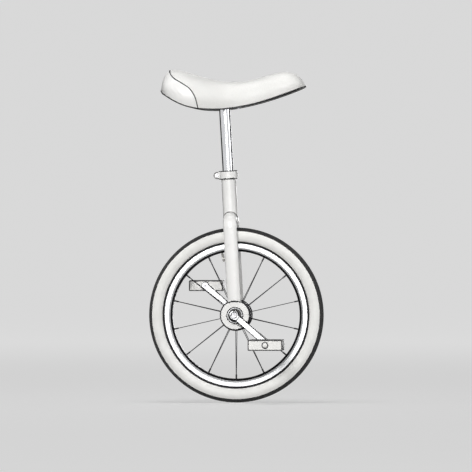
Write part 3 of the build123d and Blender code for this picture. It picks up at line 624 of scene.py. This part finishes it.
def resampled(path, step, closed=False):
    """Points at equal distances along a path."""
    path = np.array([tuple(p) for p in path])
    if closed:
        path = np.vstack([path, path[:1]])
    reach = distances(path)
    count = round(reach[-1] / step)
    marks = np.linspace(0, reach[-1], count + 1)
    if closed:
        marks = marks[:-1]
    return values_at(marks, reach, path)


def circle(count):
    """Angles at equal steps round a circle."""
    return [2 * math.pi * k / count for k in range(count)]


# ---- camera, floor and light

LENS = 400.0
SENSOR = 36.0
PICTURE_WIDTH = 1.3646  # width of the view at the unicycle
AZIMUTH = math.radians(4.3)
ELEVATION = math.radians(0.2)
TARGET = Vector((-0.001, 0, 0.4814))
back = Vector(
    (
        math.sin(AZIMUTH) * math.cos(ELEVATION),
        -math.cos(AZIMUTH) * math.cos(ELEVATION),
        math.sin(ELEVATION),
    )
)
camera = bpy.data.objects.new("camera", bpy.data.cameras.new("camera"))
scene.collection.objects.link(camera)
camera.data.lens = LENS
camera.data.sensor_width = SENSOR
camera.data.clip_end = 100
camera.location = TARGET + back * (PICTURE_WIDTH * LENS / SENSOR)
camera.rotation_mode = "QUATERNION"
camera.rotation_quaternion = (-back).to_track_quat("-Z", "Y")
scene.camera = camera

# The studio is one wide bowl: a flat floor that curves up into a wall beyond every camera.
FLOOR_RINGS = (0.5, 1.5, 4.0, 9.0)
FLOOR_FLAT_R = 16.0
FLOOR_BEND_R = 8.0
WALL_TOP = 18.0
BEND_STEPS = 12
AROUND = 64
profile = [(r, 0.0) for r in (*FLOOR_RINGS, FLOOR_FLAT_R)]
for step in range(1, BEND_STEPS + 1):
    turn = math.radians(90 * step / BEND_STEPS)
    out, up = math.sin(turn), 1 - math.cos(turn)
    profile.append((FLOOR_FLAT_R + FLOOR_BEND_R * out, FLOOR_BEND_R * up))
profile.append((FLOOR_FLAT_R + FLOOR_BEND_R, WALL_TOP))
bowl_points = [(0, 0, 0)]
for r, z in profile:
    bowl_points += [(r * math.cos(turn), r * math.sin(turn), z) for turn in circle(AROUND)]
bowl_faces = [(0, 1 + k, 1 + (k + 1) % AROUND) for k in range(AROUND)]
for a, b, c, d in ring_faces(len(profile), AROUND):
    bowl_faces.append((1 + a, 1 + d, 1 + c, 1 + b))
floor_look = Look(
    "studio_floor", (0.5, 0.5, 0.5), 1.0, Specular_IOR_Level=0.0, Emission_Color=(1, 1, 1, 1)
)
distance = floor_look.vector_math("LENGTH", floor_look.position, output="Value")
glow = floor_look.fit(distance, 0.5, 8.0, 0.46, 0.64)
floor_look.put(floor_look.shader, "Emission Strength", glow)
floor_look = floor_look.finish(floor_look.mottle(0.006, 900))
studio = make_object("studio_floor", bowl_points, bowl_faces, [floor_look])
studio.visible_diffuse = False

# Black flags, seen only in reflections, draw dark edges on polished metal. One stands behind the
# unicycle. Narrow ones lie on the floor all round it, for views from above.
FLAG_R = 5.5
FLAG_HEIGHTS = (0.03, 1.6)
FLAG_ANGLES = range(-84, 85, 6)
FLOOR_CARDS = 5
FIRST_CARD = 20
CARD_HALF_ANGLE = 7
CARD_REACH = (0.7, 5.0)
CARD_HEIGHT = 0.004
flag_look = Look("studio_flag", (0.01, 0.01, 0.01), 0.9)
flag_look = flag_look.finish(flag_look.mottle(0.1, 500))


def behind(degrees, r, z):
    """A point at an angle from straight behind the unicycle."""
    turn = math.radians(degrees)
    return r * math.sin(turn), r * math.cos(turn), z


flag_points = [behind(a, FLAG_R, z) for a in FLAG_ANGLES for z in FLAG_HEIGHTS]
flag_faces = [(2 * k, 2 * k + 1, 2 * k + 3, 2 * k + 2) for k in range(len(FLAG_ANGLES) - 1)]
for card in range(FLOOR_CARDS):
    middle = FIRST_CARD + 360 * card / FLOOR_CARDS
    first = len(flag_points)
    for r in CARD_REACH:
        for edge in (middle - CARD_HALF_ANGLE, middle + CARD_HALF_ANGLE):
            flag_points.append(behind(edge, r, CARD_HEIGHT))
    flag_faces.append((first, first + 1, first + 3, first + 2))
flag = make_object("studio_flags", flag_points, flag_faces, [flag_look])
flag.visible_camera = False
flag.visible_diffuse = False
flag.visible_shadow = False

world = bpy.data.worlds.new("studio")
scene.world = world
world.use_nodes = True
background = world.node_tree.nodes["Background"]
background.inputs["Color"].default_value = (1, 1, 1, 1)
background.inputs["Strength"].default_value = 0.1

# The front, back and side lights leave the floor to the top light, so it stays evenly pale.
LIT_POINT = Vector((0, 0, 0.5))
unicycle_only = bpy.data.collections.new("unicycle_only")
unicycle_only.objects.link(studio)
unicycle_only.collection_objects[0].light_linking.link_state = "EXCLUDE"


def softbox(name, place, size, power, color=(1, 1, 1), lights_floor=False, in_reflections=True):
    """A square area light aimed at the unicycle. Its power is in watts."""
    data = bpy.data.lights.new(name, "AREA")
    data.size = size
    data.energy = power
    data.color = color
    lamp = bpy.data.objects.new(name, data)
    scene.collection.objects.link(lamp)
    lamp.location = place
    lamp.rotation_mode = "QUATERNION"
    lamp.rotation_quaternion = (Vector(place) - LIT_POINT).to_track_quat("Z", "Y")
    lamp.visible_camera = False
    lamp.visible_glossy = in_reflections
    if not lights_floor:
        lamp.light_linking.receiver_collection = unicycle_only


softbox("key", (-0.15, -4.2, 1.8), 1.3, 150, (1.0, 0.99, 0.98))
softbox("fill", (1.4, -4.0, 0.8), 1.0, 14, (0.98, 0.99, 1.0))
softbox("back", (0.5, 4.1, 1.8), 1.5, 135, in_reflections=False)
softbox("low_back", (0.5, 4.1, 0.45), 1.1, 24)
softbox("left", (-4.0, 0.4, 1.5), 1.2, 13)
softbox("right", (4.0, -0.2, 1.5), 1.2, 13)
softbox("top", (-0.4, -0.5, 5.5), 1.8, 95, lights_floor=True)
scene.view_settings.view_transform = "Standard"

# ---- tyre

# The right half of the tyre's section in millimetres: distance from the middle, radius.
TREAD_TOP = Vector((0, 253))
TREAD_SIDE = Vector((9, 251.53))
TREAD_EDGE = Vector((17.5, 247.3))
FLANK = Vector((25, 229))
HOOK = Vector((15, 210.8))
BEAD = ((13.6, 209.4), (12.5, 208.9), (12.4, 206.0), (12.3, 203.3), (8.8, 203.2))
INSIDE = ((8.6, 206.2), (12.0, 212.6), (20.5, 221.0), (22.0, 230.0), (19.0, 239.0))
INSIDE += ((12.5, 245.2), (6.0, 247.6))
INSIDE_TOP = (0, 248.2)
TREAD_STEPS = 22
WALL_STEPS = 26
TYRE_STEPS = 1440
SHOULDER_BLOCKS = 90
GROOVE_PLACE = 7.0
GROOVE_DEPTH = 2.0
CUT_DEPTH = 1.5
SIPE_DEPTH = 0.7
WALL_RINGS = (242.5, 217.0)
RING_RISE = 0.45
WALL_RIBS = 360
RIB_RISE = 0.4


def arc_through(a, b, c, count):
    """Points of the circle through three (along, radius) points."""
    d = 2 * (a.x * (b.y - c.y) + b.x * (c.y - a.y) + c.x * (a.y - b.y))
    sa, sb, sc = a.length_squared, b.length_squared, c.length_squared
    centre = Vector(
        (
            (sa * (b.y - c.y) + sb * (c.y - a.y) + sc * (a.y - b.y)) / d,
            (sa * (c.x - b.x) + sb * (a.x - c.x) + sc * (b.x - a.x)) / d,
        )
    )
    radius = (a - centre).length
    start, _, end = np.unwrap([math.atan2(p.y - centre.y, p.x - centre.x) for p in (a, b, c)])
    turns = [start + (end - start) * k / count for k in range(count + 1)]
    return [centre + radius * Vector((math.cos(turn), math.sin(turn))) for turn in turns]


def smooth_step(x, low, high):
    t = np.clip((x - low) / (high - low), 0, 1)
    return t * t * (3 - 2 * t)


def ridge(x, half, soft):
    """1 where x is under half, falling to 0 at soft."""
    return 1 - smooth_step(np.abs(x), half, soft)


def build_tyre():
    """The tyre as a grid round the axle, with a low road tread, ribbed walls and a bead strip."""
    crown = arc_through(TREAD_TOP, TREAD_SIDE, TREAD_EDGE, TREAD_STEPS)[1:]
    wall = arc_through(TREAD_EDGE, FLANK, HOOK, WALL_STEPS)[1:]
    half = [TREAD_TOP] + crown + wall + [Vector(p) for p in BEAD + INSIDE]
    loop = half + [Vector(INSIDE_TOP)] + [Vector((-p.x, p.y)) for p in reversed(half[1:])]
    along = np.array([p.x for p in loop])
    radius = np.array([p.y for p in loop])
    count = len(loop)
    nearby = [np.roll(along, -1) - np.roll(along, 1), np.roll(radius, -1) - np.roll(radius, 1)]
    out = np.stack([-nearby[1], nearby[0]]) / np.linalg.norm(nearby, axis=0)
    turn = (np.arange(TYRE_STEPS) * 2 * math.pi / TYRE_STEPS)[:, None]
    size = np.abs(along)
    # Points are counted from the middle of the tread, down either side.
    place = np.minimum(np.arange(count), count - np.arange(count))
    outer = place <= TREAD_STEPS
    walls = (place > TREAD_STEPS) & (place <= TREAD_STEPS + WALL_STEPS)
    phase = turn * SHOULDER_BLOCKS / (2 * math.pi)
    # Two grooves run round, and slanted cuts part the shoulders into blocks.
    groove = ridge(size - GROOVE_PLACE, 0.8, 1.5)
    slant = (phase + np.sign(along) * 0.25 + size * 0.045) % 1.0
    cut = ridge(slant - 0.5, 0.05, 0.085) * smooth_step(size, 9.2, 10.2)
    middle = (2 * phase + along * 0.07) % 1.0
    sipe = ridge(middle - 0.5, 0.03, 0.07) * ridge(size, 3.6, 4.6)
    deepest = np.maximum(np.maximum(GROOVE_DEPTH * groove, CUT_DEPTH * cut), SIPE_DEPTH * sipe)
    # The walls carry two raised rings and fine radial ribs between them.
    ring = sum(ridge(radius - r, 0.5, 1.2) for r in WALL_RINGS)
    ribs = 0.5 - 0.5 * np.cos(turn * WALL_RIBS)
    rib_zone = smooth_step(radius, 243.6, 244.4) * (1 - smooth_step(radius, 246.0, 246.8))
    push = (RING_RISE * ring + RIB_RISE * ribs * rib_zone) * walls - deepest * outer
    y = along + out[0] * push
    r = radius + out[1] * push
    x = r * np.cos(turn) * MM
    z = r * np.sin(turn) * MM + AXLE.z
    points = np.stack([x, y * MM, z], axis=2).reshape(-1, 3)
    middles = [(radius[k] + radius[(k + 1) % count]) / 2 for k in range(count)]
    black = [int(r > TYRE_TREAD_BLACK_MM or r < TYRE_BEAD_BLACK_MM) for r in middles]
    faces = ring_faces(TYRE_STEPS, count, closed=True)
    rubbers = [looks["tyre_rubber"], black_rubber]
    return outward(make_object("tyre_with_tread", points, faces, rubbers, black * TYRE_STEPS))


tyre = build_tyre()
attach(tyre, "wheel")
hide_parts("tyre")

# ---- saddle

RING = 57  # points over each cross-section, from the left lower edge to the right one
stations = natural_spline(np.array(STATIONS_MM))
edge_curve = natural_spline(BUMPER_EDGE_MM)(np.linspace(0, 1, 300))
edge_order = np.argsort(edge_curve[:, 1])


def edge_x(z):
    """How far forward the bumper's front edge is at a height, in millimetres."""
    return np.interp(z, edge_curve[edge_order, 1], edge_curve[edge_order, 0])


def section(low, top, half):
    """One cross-section in millimetres, as (along Y, up) points over the top from the left."""
    rise = top - low
    right = [(0.95 * half, low), (half, low + 0.35 * rise), (0.66 * half, low + 0.88 * rise)]
    points = right + [(0, top)] + [(-y, z) for y, z in reversed(right)]
    return natural_spline(points)(np.linspace(0, 1, RING))


def saddle_rows(count=500, end_rows=10, bulge=2.0):
    """Dense rows of the saddle's outside from the rear end to the nose, in millimetres."""
    t = (1 - np.cos(np.linspace(0, math.pi, count))) / 2
    rows = [np.column_stack([np.full(RING, x), section(*sizes)]) for x, *sizes in stations(t)]
    rounded = []
    for direction, end in ((-1, rows[0]), (1, rows[-1])):
        group = []
        centre = np.array([end[0, 0], 0, end[0, 2] + 0.25 * (end[:, 2].max() - end[0, 2])])
        for k in range(1, end_rows + 1):
            turn = math.radians(82 * k / end_rows)
            shrunk = centre + (end - centre) * math.cos(turn)
            shrunk[:, 0] = end[0, 0] + direction * bulge * math.sin(turn)
            group.append(shrunk)
        rounded.append(group)
    return np.array(rounded[0][::-1] + rows + rounded[1])


saddle = saddle_rows()
# The row, between whole ones, where each column meets the bumper's front edge
REAR_ROWS = slice(10, 400)
row_numbers = np.arange(len(saddle))
past_edge = (saddle[:, :, 0] - edge_x(saddle[:, :, 2]))[REAR_ROWS]
edge_row = np.array([np.interp(0, past_edge[:, j], row_numbers[REAR_ROWS]) for j in range(RING)])


def strip(start, end, count):
    """Rows of the saddle between two row numbers, at equal distances along each column."""
    shares = np.linspace(0, 1, count)
    grid = np.zeros((count, RING, 3))
    for j in range(RING):
        a, b = np.broadcast_to(start, RING)[j], np.broadcast_to(end, RING)[j]
        line = values_at(np.linspace(a, b, 400), row_numbers, saddle[:, j])
        reach = distances(line)
        grid[:, j] = values_at(shares * reach[-1], reach, line)
    return grid


def grid_normals(grid):
    along = np.gradient(grid, axis=0)
    across = np.gradient(grid, axis=1)
    normals = np.cross(across, along)
    normals /= np.maximum(np.linalg.norm(normals, axis=2, keepdims=True), 1e-9)
    middle = normals[len(normals) // 2, RING // 2]
    return normals if middle[2] > 0 else -normals


def grid_faces(rows, columns):
    return [
        (i * columns + j, i * columns + j + 1, (i + 1) * columns + j + 1, (i + 1) * columns + j)
        for i in range(rows - 1)
        for j in range(columns - 1)
    ]


def settle(made, pinned, pressure, cap, frames=20):
    """Lets a closed mesh swell under pressure as cloth, and keeps each point within a cap."""
    before = [v.co.copy() for v in made.data.vertices]
    group = made.vertex_groups.new(name="held")
    group.add(pinned, 1.0, "REPLACE")
    cloth = made.modifiers.new("cloth", "CLOTH")
    cloth.settings.use_pressure = True
    cloth.settings.uniform_pressure_force = pressure
    cloth.settings.effector_weights.gravity = 0
    cloth.settings.tension_stiffness = 12
    cloth.settings.compression_stiffness = 6
    cloth.settings.bending_stiffness = 0.4
    if pinned:
        cloth.settings.vertex_group_mass = "held"
    for number in range(1, frames + 1):
        scene.frame_set(number)
    shape = made.evaluated_get(bpy.context.evaluated_depsgraph_get()).data
    after = [v.co.copy() for v in shape.vertices]
    made.modifiers.remove(cloth)
    made.vertex_groups.remove(group)
    scene.frame_set(1)
    for vertex, a, b in zip(made.data.vertices, before, after):
        move = b - a
        if move.length > cap:
            move *= cap / move.length
        vertex.co = a + move
    made.data.update()


SKIN_ROWS = 96
SKIN_INSET_MM = 1.9
SKIN_CAP = 2.6 * MM
SKIN_PROUD = 0.7 * MM
UNDERSIDE_COLUMNS = 9
PAD_PRESSURE = 4.0


def build_cover():
    """The vinyl cover: a closed skin that swells over the foam, cut open again underneath."""
    rows = SKIN_ROWS
    grid = strip(edge_row + 0.35, len(saddle) - 1, rows)
    normals = grid_normals(grid)
    # The skin starts a little inside and swells out to the saddle's size.
    shares = np.linspace(0, 1, RING)
    inset = SKIN_INSET_MM * np.sin(math.pi * shares) ** 0.5
    numbers = np.arange(rows)
    ends = smooth_step(numbers, 0, 7) * (1 - smooth_step(numbers, rows - 12, rows - 1))
    start = (grid - normals * (inset[None, :] * ends[:, None])[:, :, None]) * MM
    columns = RING + UNDERSIDE_COLUMNS
    closed = np.zeros((rows, columns, 3))
    closed[:, :RING] = start
    for k in range(UNDERSIDE_COLUMNS):
        share = (k + 1) / (UNDERSIDE_COLUMNS + 1)
        closed[:, RING + k] = start[:, -1] * (1 - share) + start[:, 0] * share
    points = [Vector(p) for p in closed.reshape(-1, 3)]
    faces = ring_faces(rows, columns)
    for row in (0, rows - 1):
        ring = [row * columns + j for j in range(columns)]
        centre = len(points)
        points.append(sum((points[k] for k in ring), Vector()) / columns)
        faces += [(ring[j], ring[(j + 1) % columns], centre) for j in range(columns)]
    bag = outward(make_object("saddle_cover_bag", points, faces, []))
    held = [
        i * columns + j
        for i in range(rows)
        for j in range(columns)
        if i < 1 or i > rows - 4 or j < 2 or j > RING - 3
    ] + [rows * columns, rows * columns + 1]
    settle(bag, held, PAD_PRESSURE, SKIN_CAP)
    swollen = np.array([tuple(v.co) for v in bag.data.vertices[: rows * columns]])
    swollen = swollen.reshape(rows, columns, 3)[:, :RING]
    bpy.data.objects.remove(bag)
    # It stands a little proud over the hard base under its lower edge.
    low_zone = 1 - smooth_step(np.minimum(shares, 1 - shares), 0.16, 0.3)
    return swollen + grid_normals(swollen) * (SKIN_PROUD * low_zone)[None, :, None]


def hemmed(grid, turn_in, drop):
    """Adds two columns on each side that fold under the lower edge."""
    folded = []
    for j in (0, RING - 1):
        lower = grid[:, j]
        inward = -np.sign(lower[:, 1])
        half = np.abs(lower[:, 1])
        pair = []
        for share, fall in ((0.3, 1.0), (1.0, 0.8)):
            moved = lower.copy()
            moved[:, 1] += inward * np.minimum(turn_in * share, half * 0.9 * share)
            moved[:, 2] -= drop * fall
            pair.append(moved)
        folded.append(pair)
    left, right = folded
    return np.stack([left[1], left[0], *grid.transpose(1, 0, 2), right[0], right[1]], axis=1)


def smoothed(made):
    """Adds one level of subdivision."""
    smooth = made.modifiers.new("smooth", "SUBSURF")
    smooth.levels = 1
    smooth.render_levels = 1


def thick_skin(name, grid, tip_row, material, thickness):
    """An open grid closed at the saddle's tip, given a thickness inward."""
    rows, columns = grid.shape[:2]
    points = [Vector(p) for p in grid.reshape(-1, 3)]
    faces = grid_faces(rows, columns)
    ring = [tip_row * columns + j for j in range(columns)]
    middle = sum((points[k] for k in ring[2:-2]), Vector()) / (columns - 4)
    points.append(Vector((points[ring[0]].x, 0, middle.z)))
    faces += [(ring[j], ring[j + 1], len(points) - 1) for j in range(columns - 1)]
    made = outward(make_object(name, points, faces, [material]), upward=True)
    solid = made.modifiers.new("thickness", "SOLIDIFY")
    solid.thickness = thickness
    solid.offset = -1
    smoothed(made)
    return made


cover_grid = build_cover()
cover_sheet = hemmed(cover_grid, 0.009, 0.0011)
cover = thick_skin("saddle_cover_vinyl", cover_sheet, SKIN_ROWS - 1, looks["saddle_vinyl"], 0.0016)
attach(cover, "saddle")
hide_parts("saddle_cover")


FOAM_VOXEL = 0.0055
FOAM_INSET = 0.0016
FOAM_CAP = 1.2 * MM


def build_foam():
    """The foam block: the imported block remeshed, then relaxed and swollen a little as cloth."""
    foam = bpy.data.objects.new("saddle_foam", nodes["saddle_cushion"].data.copy())
    scene.collection.objects.link(foam)
    remesh = foam.modifiers.new("remesh", "REMESH")
    remesh.mode = "VOXEL"
    remesh.voxel_size = FOAM_VOXEL
    evaluated = foam.evaluated_get(bpy.context.evaluated_depsgraph_get())
    foam.data = bpy.data.meshes.new_from_object(evaluated)
    foam.modifiers.clear()
    inward = [v.normal * -FOAM_INSET for v in foam.data.vertices]
    for vertex, move in zip(foam.data.vertices, inward):
        vertex.co += move
    foam.data.update()
    settle(foam, [], PAD_PRESSURE, FOAM_CAP)
    foam.data.materials.clear()
    foam.data.materials.append(looks["foam"])
    foam.data.polygons.foreach_set("use_smooth", [True] * len(foam.data.polygons))
    smoothed(foam)
    return foam


foam = build_foam()
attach(foam, "saddle")
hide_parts("saddle_cushion")

# The bumper lies over the cover's rear edge, with a rolled front lip and two shallow ribs.
BUMPER_ROWS = 60
RIB_HEIGHTS_MM = (902.0, 892.0)
RIB_RISE_MM = 0.6
bumper_grid = strip(0, edge_row - 0.2, BUMPER_ROWS)
bumper_normals = grid_normals(bumper_grid)
from_edge = np.linalg.norm(bumper_grid - bumper_grid[-1:], axis=2)
lip = 0.5 + 0.9 * (1 - smooth_step(from_edge, 3.0, 6.5))
rib = sum(RIB_RISE_MM * ridge(bumper_grid[:, :, 2] - height, 1.2, 2.6) for height in RIB_HEIGHTS_MM)
rib *= smooth_step(from_edge, 9.0, 16.0)
bumper_grid = (bumper_grid + bumper_normals * (lip + rib)[:, :, None]) * MM
bumper_sheet = hemmed(bumper_grid, 0.007, 0.0012)
bumper = thick_skin("saddle_rear_bumper", bumper_sheet, 0, looks["bumper_plastic"], 0.0022)
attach(bumper, "saddle")
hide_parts("rear_bumper")

# Black piping runs round the lower edge and along the bumper's front edge.
lower_loop = [
    *cover_grid[1:, 0],
    *cover_grid[:0:-1, -1],
    *bumper_grid[-2::-1, -1],
    *bumper_grid[:-1, 0],
]
lower_loop = resampled(lower_loop, 0.004, closed=True) - np.array([0, 0, 0.0006])
piping = tube("saddle_edge_piping", lower_loop, 0.0019, piping_black, closed=True, sides=12)
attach(piping, "saddle")

seam_line = resampled(cover_grid[0] + grid_normals(cover_grid)[0] * 0.0004, 0.003)
seam = tube("saddle_bumper_piping", seam_line, 0.0016, piping_black, sides=12)
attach(seam, "saddle")


def stitches(name, line, normals, pitch, length, radius):
    """A row of raised stitches along a line on a surface."""
    reach = distances(line)
    rise = np.sin(np.linspace(0, math.pi, 6)) * 1.1 - 0.55
    points, faces = [], []
    for k in range(int(reach[-1] / pitch)):
        marks = (k + 0.5) * pitch + length * np.linspace(-0.5, 0.5, 6)
        lift = values_at(marks, reach, normals) * (rise * radius)[:, None]
        path = values_at(marks, reach, line) + lift
        more, walls = sweep(path, radius, sides=6)
        faces += [tuple(n + len(points) for n in wall) for wall in walls]
        points += more
    return outward(make_object(name, points, faces, [thread_white]))


def line_at(grid, distance, along_rows):
    """The line on a grid at a distance from its first row, or from its first or last column."""
    if not along_rows:
        grid = grid.transpose(1, 0, 2)
    columns = grid.transpose(1, 0, 2)
    return np.array([values_at(distance, distances(column), column) for column in columns])


STITCH_PITCH = 0.0046
STITCH_LENGTH = 0.0036
THREAD_R = 0.00042
cover_normals = grid_normals(cover_grid)
for name, grid, sheet_normals, distance, by_rows in (
    ("stitching_bumper_seam", cover_grid, cover_normals, 0.0052, True),
    ("stitching_left_edge", cover_grid[2:-3], cover_normals[2:-3], 0.0075, False),
    ("stitching_right_edge", cover_grid[2:-3, ::-1], cover_normals[2:-3, ::-1], 0.0075, False),
):
    line = line_at(grid, distance, by_rows)
    normals = sheet_normals[1] if by_rows else sheet_normals[:, 3]
    row = stitches(name, line[4:-4], normals[4:-4], STITCH_PITCH, STITCH_LENGTH, THREAD_R)
    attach(row, "saddle")

# ---- black sealant on the welds

WELD_STEP = 0.0026
WELD_GAP = 0.0004


def seam_bead(name, path, radius):
    """A bead of sealant that shows the steps of the weld under it."""

    def size(reach):
        return radius * (0.92 + 0.08 * abs(math.sin(math.pi * reach / WELD_STEP)))

    bead = tube(name, resampled(path, 0.0005), size, piping_black)
    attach(bead, "frame")


for name, side in SIDES:
    foot, crown = [], []
    for k in range(97):
        turn = 2 * math.pi * k / 96
        x = (LEG_HALF_LENGTH + WELD_GAP) * math.cos(turn)
        y = side * HOUSING_Y + (LEG_HALF_WIDTH + WELD_GAP) * math.sin(turn)
        foot.append(tube_point(x, y, math.sqrt(HOUSING_R**2 - x * x) + WELD_GAP))
    reach = math.asin((LEG_HALF_LENGTH - 0.0003) / SEAT_TUBE_R)
    for k in range(49):
        turn = -reach + 2 * reach * k / 48
        x = SEAT_TUBE_R * math.sin(turn)
        height = CROWN_HALF_HEIGHT * math.sqrt(1 - (x / LEG_HALF_LENGTH) ** 2)
        crown.append(tube_point(x, side * SEAT_TUBE_R * math.cos(turn), CROWN_HEIGHT + height))
    seam_bead(f"seam_bead_housing_{name}", foot, HOUSING_BEAD_R)
    seam_bead(f"seam_bead_crown_{name}", crown, CROWN_BEAD_R)

# ---- pedal caps and hub lip rings

BUTTON_STEPS = 48
# The button's outline: radius, height over the cap
BUTTON_OUTLINE = [(0.0068, -0.0004), (0.0068, 0.0), (0.0064, 0.0005)]
BUTTON_OUTLINE += [(0.0052, 0.0009), (0.003, 0.0012), (0.0012, 0.0013)]
button_white = moulded("pedal_button_plastic", (0.84, 0.84, 0.82), 0.4)

for name, side in SIDES:
    low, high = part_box(f"pedal_dust_cap_{name}")
    face_y = high.y if side > 0 else low.y
    centre = Vector(((low.x + high.x) / 2, face_y, (low.z + high.z) / 2))
    points = [
        centre + Vector((r * math.cos(turn), side * rise, r * math.sin(turn)))
        for r, rise in BUTTON_OUTLINE
        for turn in circle(BUTTON_STEPS)
    ]
    faces = ring_faces(len(BUTTON_OUTLINE), BUTTON_STEPS)
    faces.append(tuple(range(BUTTON_STEPS)))
    faces.append(tuple(range(len(points) - BUTTON_STEPS, len(points))))
    button = outward(make_object(f"pedal_cap_button_{name}", points, faces, [button_white]))
    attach(button, f"pedal_{name}")

for name, side in SIDES:
    ring = []
    for turn in circle(120):
        x, z = LIP_RING_R * math.cos(turn), LIP_RING_R * math.sin(turn)
        ring.append(AXLE + Vector((x, side * LIP_RING_Y, z)))
    ring_name = f"bearing_lip_ring_{name}"
    lip_ring = tube(ring_name, ring, LIP_RING_THICKNESS, piping_black, closed=True, sides=12)
    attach(lip_ring, "frame")
